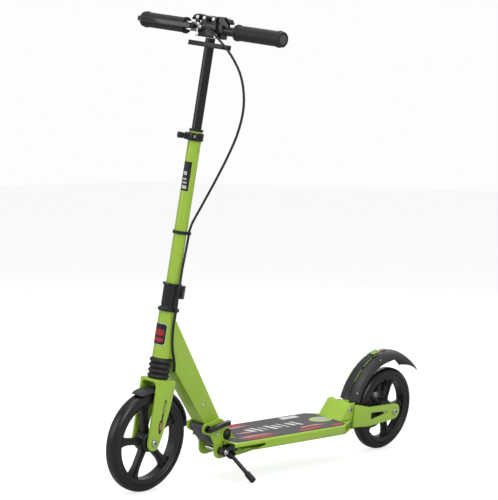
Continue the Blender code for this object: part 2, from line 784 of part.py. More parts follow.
def make_brake_lever(bar):
    """Silver bracket with its cable barrel, and the long black blade that pivots on it."""
    bracket = block("lever_bracket", (13.4, -37.5, -8.0), (22.0, -15.0, 8.5))
    fork_upper = block("bracket_upper", (20.0, -36.5, 5.6), (33.5, -23.5, 8.5))
    fork_lower = block("bracket_lower", (20.0, -36.5, -8.0), (33.5, -23.5, -5.2))
    barrel = rod("barrel", 3.6, (19.5, -16.0, 1.0), (19.5, BARREL_END_Y, 1.0), 16)
    join(bracket, fork_upper, fork_lower, barrel)
    cut(bracket, rod("lever_pin_hole", 2.4, (LEVER_PIVOT[0], LEVER_PIVOT[1], -12), (LEVER_PIVOT[0], LEVER_PIVOT[1], 12), 16))
    part(bracket, bar, "steel")

    pivot = empty("brake_lever_pivot", bar, LEVER_PIVOT)
    front = [(3.5, 5.5), (5.0, 0), (7.0, -14), (11.0, -40), (12.5, -80), (10.0, -118), (7.0, -136)]
    back = [(2.0, -137), (4.5, -118), (7.0, -80), (5.5, -42), (0.5, -16), (-5.0, -6), (-5.0, 2), (-1.5, 6.0)]
    blade = plate_flat("brake_lever", front + back, 9.6)
    bevel(blade, 1.2, 1)
    pin_end = 8.3
    pin = rod("lever_pin", 2.1, (0, 0, -pin_end + 0.5), (0, 0, pin_end), 16)
    join(blade, pin)
    part(blade, pivot, "black_metal")


# ---------------------------------------------------------------- brake cable

UPPER_CABLE = [
    (19.5, -7.5, 802.7),
    (19.7, -2.5, 802.6),
    (21.5, 8.0, 801.3),
    (23.5, 24.0, 795.0),
    (22.5, 48.0, 780.0),
    (18.5, 76.0, 757.0),
    (13.0, 99.0, 727.0),
    (8.0, 111.0, 692.0),
    (4.0, 113.0, 655.0),
    (0.5, 104.0, 612.0),
    (-3.0, 86.0, 568.0),
    (-6.0, 62.0, 518.0),
    (-8.5, 35.0, 465.0),
    (-9.6, 17.5, 430.0),
    (-9.6, 13.6, 415.0),
    (-9.6, 13.6, 410.0),
]
LOWER_CABLE = [
    (-9.6, 13.6, 409.7),
    (-9.4, 13.8, 400.0),
    (-7.0, 14.8, 375.0),
    (-2.0, 17.5, 340.0),
    (3.4, 22.4, 311.0),
    (4.5, 22.6, 292.0),
    (4.6, 24.2, 264.0),
    (3.0, 21.8, 235.0),
    (-1.0, 21.0, 205.0),
    (-8.0, 20.6, 180.0),
    (-15.8, 20.2, 164.4),
    (-19.4, 19.4, 156.7),
    (-23.0, 16.7, 149.5),
    (-27.0, 13.0, 143.3),
]
FRAME_CABLE = [
    (-52.5, 9.9, 236.8),
    (-62.0, 6.5, 230.6),
    (-76.0, 4.5, 219.0),
    (-100.0, 3.0, 195.0),
    (-130.0, 0.0, 160.0),
    (-155.0, -6.0, 134.0),
    (-171.0, -10.0, 115.0),
    (-180.0, -11.0, 104.0),
]
DECK_CABLE = [
    (-187.0, -11.0, 92.0),
    (-192.0, -10.0, 84.0),
    (-204.0, -9.0, 76.0),
    (-225.0, -9.0, 73.5),
    (-260.0, -9.0, 73.5),
    (-420.0, -12.0, 73.5),
    (-580.0, -20.0, 73.5),
    (-625.0, -24.0, 76.0),
    (-660.0, -25.0, 92.0),
    (-690.0, -26.0, 116.0),
    (-708.0, -28.0, 138.0),
    (-718.0, -31.5, 152.0),
]


def make_column_cables(steer):
    """The brake cable's two free runs: bar to ring clip, and ring clip to the frame."""
    part(wire("brake_cable_upper", smooth_route(UPPER_CABLE, 14), CABLE_RADIUS), steer, "rubber")
    part(wire("brake_cable_lower", smooth_route(LOWER_CABLE, 13), CABLE_RADIUS), steer, "rubber")


# ---------------------------------------------------------------- frame


def beam_outline():
    """The box beam's side view, from the head tube down to its pivot ear."""
    points = [(-30.0, 262.0), (-40.0, 259.5), (-47.0, 250.0), (-48.0, 236.0), (-145.0, 124.5), (-149.0, 121.0)]
    points += [(-162.0, 116.5), (-190.0, 113.0), (-199.0, 104.0)]
    ear = arc(PIVOT, PIVOT_EAR, 340, 160, 14)
    points += ear
    points += [(-188.0, 132.0), (-34.0, 339.6), (-25.0, 346.0)]
    return points


def beam_cavity_outline():
    """The beam's hollow, open at its lower end between the cheeks."""
    return [(-58.0, 230.0), (-54.0, 306.0), (-184.0, 130.5), (-186.0, 108.0), (-165.0, 108.0), (-156.0, 124.0), (-148.0, 127.5)]


def make_front_frame(fold, axis_frame):
    """The head tube welded to the down tube, a box beam with a cable entry near its top."""
    beam = outline_plate("front_frame", beam_outline(), 2 * BEAM_HALF_WIDTH)
    bevel(beam, 2.2, 2, 60)
    cut(beam, outline_plate("beam_hollow", beam_cavity_outline(), 2 * BEAM_HALF_WIDTH - 6))
    low = axis_frame(0, 0, HEAD_TUBE_BOTTOM)
    high = axis_frame(0, 0, HEAD_TUBE_TOP)
    above = axis_frame(0, 0, HEAD_TUBE_TOP + 60)
    below = axis_frame(0, 0, HEAD_TUBE_BOTTOM - 60)
    cut(beam, rod("upper_room", HEAD_TUBE_RADIUS + 6, high, above, 36))
    cut(beam, rod("lower_room", HEAD_TUBE_RADIUS + 6, below, low, 36))
    join(beam, rod("head_tube", HEAD_TUBE_RADIUS, low, high, 36))
    cut(beam, rod("head_tube_bore", HEAD_TUBE_BORE, below, above, 36))
    pivot_x, pivot_z = PIVOT
    cut(beam, rod("pivot_bore", 5.2, (pivot_x, -30, pivot_z), (pivot_x, 30, pivot_z), 20))
    cut(beam, rod("cable_entry", 4.3, (-40.0, 14.3, 244.3), (-66.0, 5.0, 228.0), 16))
    shift_children(beam, fold, PIVOT)
    return part(beam, fold, "green")


def shift_children(obj, fold, pivot):
    """Moves a shape drawn about the ground origin so that it sits about the fold axis."""
    offset = (-pivot[0], 0, -pivot[1])
    shift(obj, offset)
    for step in obj.modifiers:
        if step.type == "BOOLEAN":
            shift(step.object, offset)


def cheek_outline():
    """One side plate of the folding bracket."""
    points = arc(CLAMP_SHAFT, 11.0, -55, 95, 7)
    points += arc((-183.0, 106.0), 24.0, 75, 135, 5)
    points += [(-214.0, 110.0), (-223.0, 101.0), (-236.5, 80.0), (-236.5, 60.0), (-226.0, 48.5)]
    points += arc((-198.0, 63.5), 17.5, -95, 0, 6)
    points += [(-178.5, 76.0), (-164.0, 95.0)]
    return points


def make_cheek(name, frame, side):
    cheek = outline_plate(name, cheek_outline(), CHEEK_WALL)
    for label, (x, z), radius in (
        ("pivot_hole", PIVOT, 5.3),
        ("shaft_hole", CLAMP_SHAFT, 4.7),
        ("kickstand_hole", KICKSTAND_BOLT, 4.3),
    ):
        cut(cheek, rod(label, radius, (x, -6, z), (x, 6, z), 20))
    middle = side * (CHEEK_INNER + CHEEK_WALL / 2)
    return part(cheek, frame, "green", location=(0, middle, 0))


def bolt(name, frame, centre, radius, head_radius, low_y, high_y, head, finish):
    """A cross bolt with a washer-sized head on the left and a flat end on the right."""
    profile = [(0, high_y + head), (head_radius - 1.5, high_y + head), (head_radius, high_y + head - 1.5)]
    profile += [(head_radius, high_y), (radius, high_y), (radius, low_y), (head_radius, low_y)]
    profile += [(head_radius, low_y - head), (0, low_y - head)]
    x, z = centre
    shape = turned(name, profile, 16, False)
    return part(shape, frame, finish, location=(x, 0, z), rotation_deg=(-90, 0, 0))


def make_fold_bracket(frame):
    """Cheek plates, their pivot bolt, the clamp shaft and its quick-release lever, and the release pedal."""
    outer = CHEEK_INNER + CHEEK_WALL + GAP
    make_cheek("fold_cheek_left", frame, 1)
    make_cheek("fold_cheek_right", frame, -1)
    bolt("fold_pivot_bolt", frame, PIVOT, 4.9, 8.0, -outer, outer, 3.5, "steel")
    shaft_profile = [(0, outer + 4.0), (7.4, outer + 4.0), (7.4, outer), (4.2, outer), (4.2, -outer)]
    shaft_profile += [(7.6, -outer), (7.6, -outer - 5), (0, -outer - 5)]
    x, z = CLAMP_SHAFT
    shaft = turned("fold_clamp_shaft", shaft_profile, 24, False)
    part(shaft, frame, "black_metal", location=(x, 0, z), rotation_deg=(-90, 0, 0))

    lever_axis = empty("fold_lever_axis", frame, (x, outer + 9.5, z), (0, 11, 0))
    outline = arc((0, 0), 5.0, -60, 60, 6)
    outline += [(-16.0, 4.6), (-40.0, 2.6), (-52.0, 6.0), (-56.0, 4.0), (-55.0, -3.4), (-40.0, -3.4), (-16.0, -4.0)]
    lever = plate_flat("fold_lever", outline, 9.0)
    bevel(lever, 1.2, 1)
    part(lever, lever_axis, "black_metal")

    pedal_axis = empty("pedal_axis", frame, (x, 0, z))
    pedal_outline = arc((0, 0), 7.6, -60, 160, 9)
    pedal_outline += [(-10.0, -3.0), (-17.0, -6.5), (-13.5, -12.0), (-20.0, -22.0), (-31.0, -31.5), (-27.0, -36.0)]
    pedal_outline += [(-9.0, -21.0)]
    pedal = outline_plate("release_pedal", pedal_outline, 33.0)
    cut(pedal, rod("pedal_bore", 4.6, (0, -30, 0), (0, 30, 0), 20))
    part(pedal, pedal_axis, "grey_plastic")


# ---------------------------------------------------------------- deck


def deck_section():
    return rounded_box_outline(DECK_HALF_WIDTH, DECK_TOP - DECK_DEPTH, DECK_TOP, DECK_CORNER, 3)


def make_deck(frame):
    """A hollow extruded footboard with two ribs, a tapered tail and cut-away front corners."""
    length = DECK_FRONT - DECK_REAR
    middle = (DECK_FRONT + DECK_REAR) / 2
    deck = shift(plate_across("deck", deck_section(), length), (middle, 0, 0))
    low = DECK_TOP - DECK_DEPTH + DECK_WALL
    high = DECK_TOP - DECK_WALL
    rib = DECK_WALL / 2
    channels = (
        (-DECK_HALF_WIDTH + DECK_WALL, -DECK_RIB_Y - rib),
        (-DECK_RIB_Y + rib, DECK_RIB_Y - rib),
        (DECK_RIB_Y + rib, DECK_HALF_WIDTH - DECK_WALL),
    )
    for left, right in channels:
        cut(deck, block("deck_channel", (DECK_REAR - 10, left, low), (DECK_FRONT + 10, right, high)))
    underside = DECK_TOP - DECK_DEPTH - 5
    lip_bottom = DECK_TOP - DECK_LIP
    front_cut = block("deck_front_cut", (DECK_BODY_FRONT, -70, underside), (DECK_FRONT + 10, 70, lip_bottom))
    notch_half = CHEEK_INNER + CHEEK_WALL + 0.5
    notch = block("deck_notch", (DECK_BODY_FRONT, -notch_half, 50), (DECK_FRONT + 10, notch_half, 100))
    cut(deck, front_cut, notch)
    wedge = [(DECK_BODY_FRONT + 4, underside), (-258.0, underside), (-270.0, 67.0)]
    wedge += arc((-290.0, 73.7), 2.8, 225, 90, 5)
    wedge += [(DECK_BODY_FRONT + 4, lip_bottom)]
    for side in (-1, 1):
        corner = outline_plate("deck_wedge", wedge, 26.0)
        cut(deck, shift(corner, (0, side * 58, 0)))
        slope = (DECK_HALF_WIDTH - DECK_REAR_HALF) / (DECK_TAPER_START - DECK_TAPER_END)
        tail = [(DECK_TAPER_START + 5, DECK_HALF_WIDTH + 5 * slope), (DECK_TAPER_START + 5, 90.0)]
        tail += [(DECK_REAR - 40, 90.0), (DECK_REAR - 40, DECK_REAR_HALF), (DECK_TAPER_END, DECK_REAR_HALF)]
        shape = plate_flat("deck_tail_cut", [(x, side * y) for x, y in tail], 40)
        cut(deck, shift(shape, (0, 0, DECK_TOP - 10)))
    part(deck, frame, "green")

    half = DECK_HALF_WIDTH - 5
    notch_edge = notch_half + 2.0
    sheet = [(DECK_BODY_FRONT - 4, notch_edge), (DECK_FRONT - 6, notch_edge), (DECK_FRONT - 6, half - 6)]
    sheet += [(DECK_FRONT - 12, half), (DECK_TAPER_START, half), (SHEET_END, 44.0)]
    sheet += [(x, -y) for x, y in reversed(sheet)]
    grip = shift(plate_flat("deck_grip", sheet, 1.0), (0, 0, DECK_TOP + GAP + 0.5))
    part(grip, frame, "grip_tape")


def make_kickstand(frame):
    """The bracket under the deck lip, and the leg that swings out and down on a tilted pin."""
    inner = CHEEK_INNER + CHEEK_WALL + GAP
    x, z = KICKSTAND_BOLT
    outline = arc((x, z), 8.0, -60, 120, 8)
    outline += [(-206.0, 75.0), (-230.0, 74.0), (-231.0, 62.0), (-213.0, 62.6), (-203.0, 62.0), (-199.0, 56.5)]
    bracket = shift(outline_plate("kickstand_bracket", outline, 16.0), (0, inner + 8.0, 0))
    bore = ((x, inner - 5, z), (x, inner + 30, z))
    bolt_end = -CHEEK_INNER - CHEEK_WALL - GAP - 4
    cut(bracket, rod("kickstand_bracket_bore", 4.3, *bore, 20))
    hub = Vector(KICKSTAND_HUB)
    tilt = math.radians(KICKSTAND_TILT_DEG)
    axis = Vector((0, math.sin(tilt), math.cos(tilt)))
    clear_start = hub - axis * 8.0
    clear_end = hub + axis * 6.4
    cut(bracket, rod("kickstand_hub_room", 13.0, clear_start, clear_end, 28))
    join(bracket, rod("kickstand_pin", 3.2, hub - axis * 5.2, hub + axis * 9.0, 16))
    part(bracket, frame, "black_metal")
    bolt("kickstand_bolt", frame, KICKSTAND_BOLT, 4.0, 6.0, bolt_end + 4, inner + 16 + GAP, 3.0, "steel")

    pivot = empty("kickstand_axis", frame, KICKSTAND_HUB, (-KICKSTAND_TILT_DEG, 0, 0))
    leg_start = (0, 6.0, 0)
    leg_end = (0, KICKSTAND_LENGTH - 7.0, 0)
    leg = ring("kickstand_leg", 8.5, 3.5, -5.6, 5.6, 24)
    join(leg, rod("leg_bar", KICKSTAND_LEG_RADIUS, leg_start, leg_end, 16))
    part(leg, pivot, "black_metal")

    bore_end = KICKSTAND_LENGTH - 7.0 + GAP
    shoe_start = KICKSTAND_LENGTH - 20.0
    wall = KICKSTAND_LEG_RADIUS + GAP
    profile = [(0, KICKSTAND_LENGTH + 1.5), (5.4, KICKSTAND_LENGTH + 1.5), (6.6, KICKSTAND_LENGTH)]
    profile += [(6.4, shoe_start), (wall, shoe_start), (wall, bore_end), (0, bore_end)]
    foot = turned("kickstand_foot", profile, 20, False)
    part(foot, pivot, "rubber", rotation_deg=(-90, 0, 0))


# ---------------------------------------------------------------- rear end


def make_rear_bracket(frame):
    """The bent heel plate over the deck's tail, with cheeks that hold the fender's hinge bolt."""
    base = DECK_TOP + GAP
    side_view = [(-564.5, base), (-568.0, base + 5), (-592.0, 121.0), (-607.0, 121.5), (-608.5, base)]
    hollow = [(-573.0, base - 5), (-596.5, 121.5), (-596.5, 130.0), (-630.0, 130.0), (-630.0, base - 5)]
    bracket = outline_plate("rear_bracket", side_view, 62.0)
    cut(bracket, outline_plate("bracket_hollow", hollow, 55.0))
    x, z = FENDER_HINGE
    cut(bracket, rod("fender_bolt_hole", 3.3, (x, -40, z), (x, 40, z), 16))
    part(bracket, frame, "green")


def rear_plate_outline():
    """One arm of the rear fork."""
    points = [(-604.0, 117.0), (-614.0, 116.5), (-655.0, 108.0)]
    points += arc((-WHEELBASE, REAR_RADIUS), 17.0, 85, 265, 12)
    points += [(-725.0, 71.0), (-656.0, 65.5), (-604.0, 69.0)]
    return points


def make_rear_fork(frame, name, side):
    arm = outline_plate(name, rear_plate_outline(), REAR_PLATE_WALL)
    window = [(-662.0, 95.0), (-662.0, 80.5), (-668.0, 79.5), (-716.0, 88.0), (-720.0, 91.0), (-716.0, 93.5)]
    cut(arm, outline_plate("arm_window", window, 12))
    hole = ((-WHEELBASE, -10, REAR_RADIUS), (-WHEELBASE, 10, REAR_RADIUS))
    cut(arm, rod("rear_axle_hole", AXLE_HOLE, *hole, 20))
    middle = side * (REAR_PLATE_INNER + REAR_PLATE_WALL / 2)
    return part(arm, frame, "green", location=(0, middle, 0))


def make_rear_wheel(frame):
    hub = empty("rear_wheel_axis", frame, (-WHEELBASE, 0, REAR_RADIUS))
    tyre("rear_tyre", REAR_RADIUS, hub)
    rim("rear_rim", REAR_RADIUS, hub)
    bearing("rear_bearing_left", hub, 1)
    bearing("rear_bearing_right", hub, -1)
    outer = REAR_PLATE_INNER + REAR_PLATE_WALL
    axle("rear_axle", frame, (-WHEELBASE, 0, REAR_RADIUS), outer)
    profile = [(ROTOR_RADIUS, 1.0), (ROTOR_RADIUS, -1.0), (17.0, -1.0), (17.0, -6.6)]
    profile += [(12.5, -6.6), (12.5, 1.0)]
    rotor = turned("brake_rotor", profile, 40, True)
    part(rotor, hub, "steel", location=(0, ROTOR_Y, 0), rotation_deg=(90, 0, 0))


def make_caliper(frame):
    """The disc brake's caliper on the right arm, and the small arm that the cable pulls."""
    x = -WHEELBASE - 4.0
    z = REAR_RADIUS
    caliper = block("brake_caliper", (x - 17, -32.0, z + 32), (x + 17, -16.2, z + 60))
    gap = block("rotor_gap", (x - 40, ROTOR_Y - 1.8, z - 10), (x + 40, ROTOR_Y + 1.8, z + ROTOR_RADIUS + 1.8))
    cut(caliper, gap)
    foot = [(x + 6, z + 8), (x + 34, z + 4), (x + 34, z + 16), (x + 15, z + 42), (x - 6, z + 42), (x - 6, z + 30)]
    bracket = shift(outline_plate("caliper_foot", foot, 3.6), (0, -29.8, 0))
    join(caliper, bracket)
    part(caliper, frame, "black_metal")

    pivot = empty("caliper_arm_axis", frame, (x, -36.0, z + 46))
    outline = arc((0, 0), 7.0, 120, 330, 8) + [(31.0, 11.0), (33.0, 15.0), (29.0, 18.5)]
    arm = outline_plate("caliper_arm", outline, 3.0)
    part(arm, pivot, "steel")


def fender_section():
    """The rear fender's cross-section as (radius, side) points: flat crown, sloping shoulders and skirts."""
    top = FENDER_RADIUS - 1.1
    half = [(top - 19, 25.5), (top - 13, 25.0), (top - 7, 20.5), (top - 1.2, 12.5), (top, 10.5)]
    return half + [(r, -y) for r, y in reversed(half)]


def make_rear_fender(frame):
    """The foot brake: a black cover over a sprung green plate, hinged on the heel bracket."""
    hinge = empty("rear_fender_axis", frame, (FENDER_HINGE[0], 0, FENDER_HINGE[1]))
    offset = (FENDER_CENTRE[0] - FENDER_HINGE[0], 0, FENDER_CENTRE[1] - FENDER_HINGE[1])
    cover = turned("rear_fender", fender_section(), 22, False, angle_deg=121, start_deg=17)
    solidify(cover, 2.2)
    part(cover, hinge, "black_plastic", location=offset, rotation_deg=(90, 0, 0))

    plate_radius = FENDER_RADIUS - 3.0
    centre = (offset[0], offset[2])
    outline = arc(centre, plate_radius, 8, 74, 14)
    outline += arc(centre, plate_radius - 2.6, 74, 8, 14)
    plate = outline_plate("rear_fender_plate", outline, 18.0)
    barrel = rod("fender_barrel", 5.5, (0, -26.5, 0), (0, 26.5, 0), 24)
    arm = [(1.5, -4.4), (1.5, 4.4), (-13.0, 13.0), (-19.4, 12.0), (-18.2, 0.5), (-12.0, -4.4)]
    arm_plate = outline_plate("fender_arm", arm, 17.0)
    pad_angle = 60.0
    pad = block("brake_block", (plate_radius - BRAKE_BLOCK, -8.0, -13.0), (plate_radius - 1.0, 8.0, 13.0))
    turn(pad, "Y", -pad_angle)
    shift(pad, (centre[0], 0, centre[1]))
    join(plate, barrel, arm_plate, pad)
    cut(plate, rod("barrel_bore", 3.4, (0, -40, 0), (0, 40, 0), 16))
    part(plate, hinge, "green")
    bolt("fender_hinge_bolt", frame, FENDER_HINGE, 3.0, 6.5, -31.3, 31.3, 0.9, "steel")


# ---------------------------------------------------------------- assembly


def steering_point(origin):
    """Returns a function from steering-axis coordinates to upright scooter coordinates."""
    tilt = Matrix.Rotation(math.radians(-RAKE_DEG), 4, "Y")

    def convert(x, y, s):
        point = tilt @ Vector((x, y, s)) + Vector(origin)
        return (point.x, point.y, point.z)

    return convert


def build():
    lean = empty("lean", None, (CENTRE_X, CENTRE_Y, GROUND_LIFT), (-LEAN_DEG, 0, 0))
    tilt = math.radians(RAKE_DEG)
    steer_origin = (-AXLE_OFFSET * math.cos(tilt), 0, FRONT_RADIUS - AXLE_OFFSET * math.sin(tilt))
    fold = empty("fold_axis", lean, (PIVOT[0], 0, PIVOT[1]))
    from_fold = (steer_origin[0] - PIVOT[0], 0, steer_origin[2] - PIVOT[1])
    steer = empty("steering_axis", fold, from_fold, (0, -RAKE_DEG, 0))

    make_deck(lean)
    make_fold_bracket(lean)
    make_kickstand(lean)
    make_rear_bracket(lean)
    make_rear_fork(lean, "rear_fork_left", 1)
    make_rear_fork(lean, "rear_fork_right", -1)
    make_rear_wheel(lean)
    make_caliper(lean)
    make_rear_fender(lean)
    part(wire("brake_cable_deck", smooth_route(DECK_CABLE, 14), CABLE_RADIUS), lean, "rubber")

    make_front_frame(fold, steering_point(steer_origin))
    frame_cable = wire("brake_cable_frame", smooth_route(FRAME_CABLE, 12), CABLE_RADIUS)
    part(shift(frame_cable, (-PIVOT[0], 0, -PIVOT[1])), fold, "rubber")

    make_column(steer)
    make_headset_bearing(steer)
    make_headset_clamp(steer)
    make_ring_clip(steer)
    make_collar(steer)
    make_inner_tube(steer)
    make_handlebar_parts(steer)
    make_column_cables(steer)

    make_fork(steer)
    make_front_fender(steer)
    make_bellows(steer)
    make_suspension_spring(steer)
    make_front_wheel(steer)


def make_handlebar_parts(steer):
    bar = make_handlebar(steer)
    make_grip_holder(steer)
    make_brake_lever(bar)


build()
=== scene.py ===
"""Dresses the folding kick scooter: finishes, finer pieces where a node is plain, and the studio.

Sizes in the piece classes are millimetres in one of two frames: the upright scooter (X forwards, Y to the
rider's left, Z up, origin on the ground under the front axle) or the steering axis (Z up the column, origin
beside the axle).
"""

from __future__ import annotations

import json
import logging
import math
from dataclasses import dataclass
from enum import Enum

import bmesh
import bpy
from mathutils import Matrix, Vector

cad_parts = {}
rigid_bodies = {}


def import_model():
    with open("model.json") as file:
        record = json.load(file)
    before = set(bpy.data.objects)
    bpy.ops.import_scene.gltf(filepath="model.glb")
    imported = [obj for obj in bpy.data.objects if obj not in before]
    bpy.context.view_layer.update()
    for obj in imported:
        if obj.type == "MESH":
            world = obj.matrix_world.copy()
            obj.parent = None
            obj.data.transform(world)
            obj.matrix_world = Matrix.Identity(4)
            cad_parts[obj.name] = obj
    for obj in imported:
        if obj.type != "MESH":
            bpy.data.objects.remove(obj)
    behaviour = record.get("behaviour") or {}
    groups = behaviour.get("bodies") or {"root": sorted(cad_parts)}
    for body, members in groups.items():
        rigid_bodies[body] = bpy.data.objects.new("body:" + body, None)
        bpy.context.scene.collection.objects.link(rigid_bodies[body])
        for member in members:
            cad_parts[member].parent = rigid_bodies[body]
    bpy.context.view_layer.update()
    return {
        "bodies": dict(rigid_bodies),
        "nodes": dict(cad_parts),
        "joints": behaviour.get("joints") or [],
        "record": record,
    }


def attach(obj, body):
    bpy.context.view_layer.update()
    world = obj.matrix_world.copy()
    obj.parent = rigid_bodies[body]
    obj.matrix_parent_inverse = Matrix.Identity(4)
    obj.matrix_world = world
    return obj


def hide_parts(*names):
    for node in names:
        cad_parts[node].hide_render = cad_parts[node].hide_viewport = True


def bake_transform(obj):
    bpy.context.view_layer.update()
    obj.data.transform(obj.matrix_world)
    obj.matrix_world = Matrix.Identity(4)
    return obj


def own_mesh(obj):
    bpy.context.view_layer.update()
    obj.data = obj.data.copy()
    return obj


LOG = logging.getLogger("scooter")
MM = 0.001
LEAN = math.radians(7.785)
RAKE = math.radians(4.70)
SET_DOWN = Vector((367.02, -121.69, 0.39)) * MM
AXLE_OFFSET = 7.3
FRONT_RADIUS = 100.0
REAR_RADIUS = 90.0
WHEELBASE = 744.0
BAR_STATION = 801.7
LATCH_STATION = BAR_STATION + 19.0
SHEET_TOP = 85.82
COLUMN_RADIUS = 12.78
HEAD_TUBE_RADIUS = 17.55
WHEEL_HALF_WIDTH = 14.5

Point = tuple[float, float, float]
Outline = list[tuple[float, float]]

UPRIGHT = Matrix.Translation(SET_DOWN) @ Matrix.Rotation(-LEAN, 4, "X")
STEER_ORIGIN = Vector((-AXLE_OFFSET * math.cos(RAKE), 0.0, FRONT_RADIUS - AXLE_OFFSET * math.sin(RAKE))) * MM
STEER = UPRIGHT @ Matrix.Translation(STEER_ORIGIN) @ Matrix.Rotation(-RAKE, 4, "Y")
ACROSS = Matrix.Rotation(math.radians(90), 4, "X")
PLAIN = Matrix.Identity(4)


def at(frame: Matrix, x: float, y: float, z: float) -> Matrix:
    """A frame moved to a point.

    Args:
        frame: the frame that the point is given in.
        x: forwards, in millimetres.
        y: to the rider's left, in millimetres.
        z: up, in millimetres.

    Returns:
        The moved frame, in metres.
    """
    return frame @ Matrix.Translation(Vector((x, y, z)) * MM)


# ---------------------------------------------------------------- finishes


class Grain(Enum):
    """The fine surface that a finish has."""

    POWDER = "powder"
    SATIN = "satin"
    MOULDED = "moulded"
    RUBBER = "rubber"
    BRUSHED = "brushed"


@dataclass(frozen=True)
class GrainValues:
    """How coarse and how deep a grain is.

    Attributes:
        scale: noise cells per metre.
        height: bump distance in metres.
        rough: how much the roughness changes.
        stretch: how much the grain is drawn out along X.
    """

    scale: float
    height: float
    rough: float
    stretch: float = 1.0


GRAINS: dict[Grain, GrainValues] = {
    Grain.POWDER: GrainValues(900.0, 0.00005, 0.10),
    Grain.SATIN: GrainValues(1400.0, 0.00003, 0.12),
    Grain.MOULDED: GrainValues(1100.0, 0.00008, 0.15),
    Grain.RUBBER: GrainValues(700.0, 0.00012, 0.12),
    Grain.BRUSHED: GrainValues(1800.0, 0.00003, 0.20, 0.06),
}


class GroupBuilder:
    """Builds the shader groups that several finishes share."""

    @staticmethod
    def surface() -> bpy.types.NodeTree:
        """The group that gives a finish its grain, its faint dust and its rubbed patches.

        Returns:
            The shared node group, built on first use.
        """
        found = bpy.data.node_groups.get("worn_surface")
        if found:
            return found
        tree = bpy.data.node_groups.new("worn_surface", "ShaderNodeTree")
        face = tree.interface
        for name, kind, value in (
            ("Color", "NodeSocketColor", (0.5, 0.5, 0.5, 1.0)),
            ("Rubbed Color", "NodeSocketColor", (0.6, 0.6, 0.6, 1.0)),
            ("Roughness", "NodeSocketFloat", 0.5),
            ("Roughness Change", "NodeSocketFloat", 0.1),
            ("Grain Scale", "NodeSocketFloat", 900.0),
            ("Stretch", "NodeSocketFloat", 1.0),
            ("Patches", "NodeSocketFloat", 0.15),
        ):
            socket = face.new_socket(name=name, in_out="INPUT", socket_type=kind)
            socket.default_value = value
        face.new_socket(name="Color", in_out="OUTPUT", socket_type="NodeSocketColor")
        face.new_socket(name="Roughness", in_out="OUTPUT", socket_type="NodeSocketFloat")
        face.new_socket(name="Height", in_out="OUTPUT", socket_type="NodeSocketFloat")
        nodes = tree.nodes
        links = tree.links
        given = nodes.new("NodeGroupInput").outputs
        result = nodes.new("NodeGroupOutput").inputs
        place = nodes.new("ShaderNodeTexCoord").outputs["Object"]
        drawn = nodes.new("ShaderNodeCombineXYZ")
        drawn.inputs["Y"].default_value = 1.0
        drawn.inputs["Z"].default_value = 1.0
        links.new(given["Stretch"], drawn.inputs["X"])
        scaled = nodes.new("ShaderNodeVectorMath")
        scaled.operation = "MULTIPLY"
        links.new(place, scaled.inputs[0])
        links.new(drawn.outputs[0], scaled.inputs[1])
        grain = nodes.new("ShaderNodeTexNoise")
        grain.inputs["Detail"].default_value = 4.0
        links.new(scaled.outputs[0], grain.inputs["Vector"])
        links.new(given["Grain Scale"], grain.inputs["Scale"])
        broad = nodes.new("ShaderNodeTexNoise")
        broad.inputs["Scale"].default_value = 14.0
        broad.inputs["Detail"].default_value = 6.0
        broad.inputs["Roughness"].default_value = 0.7
        links.new(place, broad.inputs["Vector"])
        mask = nodes.new("ShaderNodeMapRange")
        mask.inputs["From Min"].default_value = 0.5
        mask.inputs["From Max"].default_value = 0.75
        links.new(broad.outputs[0], mask.inputs["Value"])
        amount = GroupBuilder.reckon(tree, "MULTIPLY", mask.outputs[0], given["Patches"])
        blend = nodes.new("ShaderNodeMix")
        blend.data_type = "RGBA"
        links.new(amount, blend.inputs["Factor"])
        links.new(given["Color"], blend.inputs["A"])
        links.new(given["Rubbed Color"], blend.inputs["B"])
        centred = GroupBuilder.reckon(tree, "SUBTRACT", grain.outputs[0], 0.5)
        mean = given["Roughness"]
        change = GroupBuilder.reckon(tree, "MULTIPLY_ADD", centred, given["Roughness Change"], mean)
        rough = GroupBuilder.reckon(tree, "MULTIPLY_ADD", amount, 0.25, change)
        links.new(blend.outputs["Result"], result["Color"])
        links.new(rough, result["Roughness"])
        links.new(grain.outputs[0], result["Height"])
        return tree

    @staticmethod
    def reckon(
        tree: bpy.types.NodeTree, operation: str, *values: bpy.types.NodeSocket | float
    ) -> bpy.types.NodeSocket:
        """Adds one sum to a group.

        Args:
            tree: the group.
            operation: what the sum does.
            *values: sockets or plain numbers, in order.

        Returns:
            The sum's result.
        """
        node = tree.nodes.new("ShaderNodeMath")
        node.operation = operation
        for i, value in enumerate(values):
            if isinstance(value, float):
                node.inputs[i].default_value = value
            else:
                tree.links.new(value, node.inputs[i])
        return node.outputs[0]


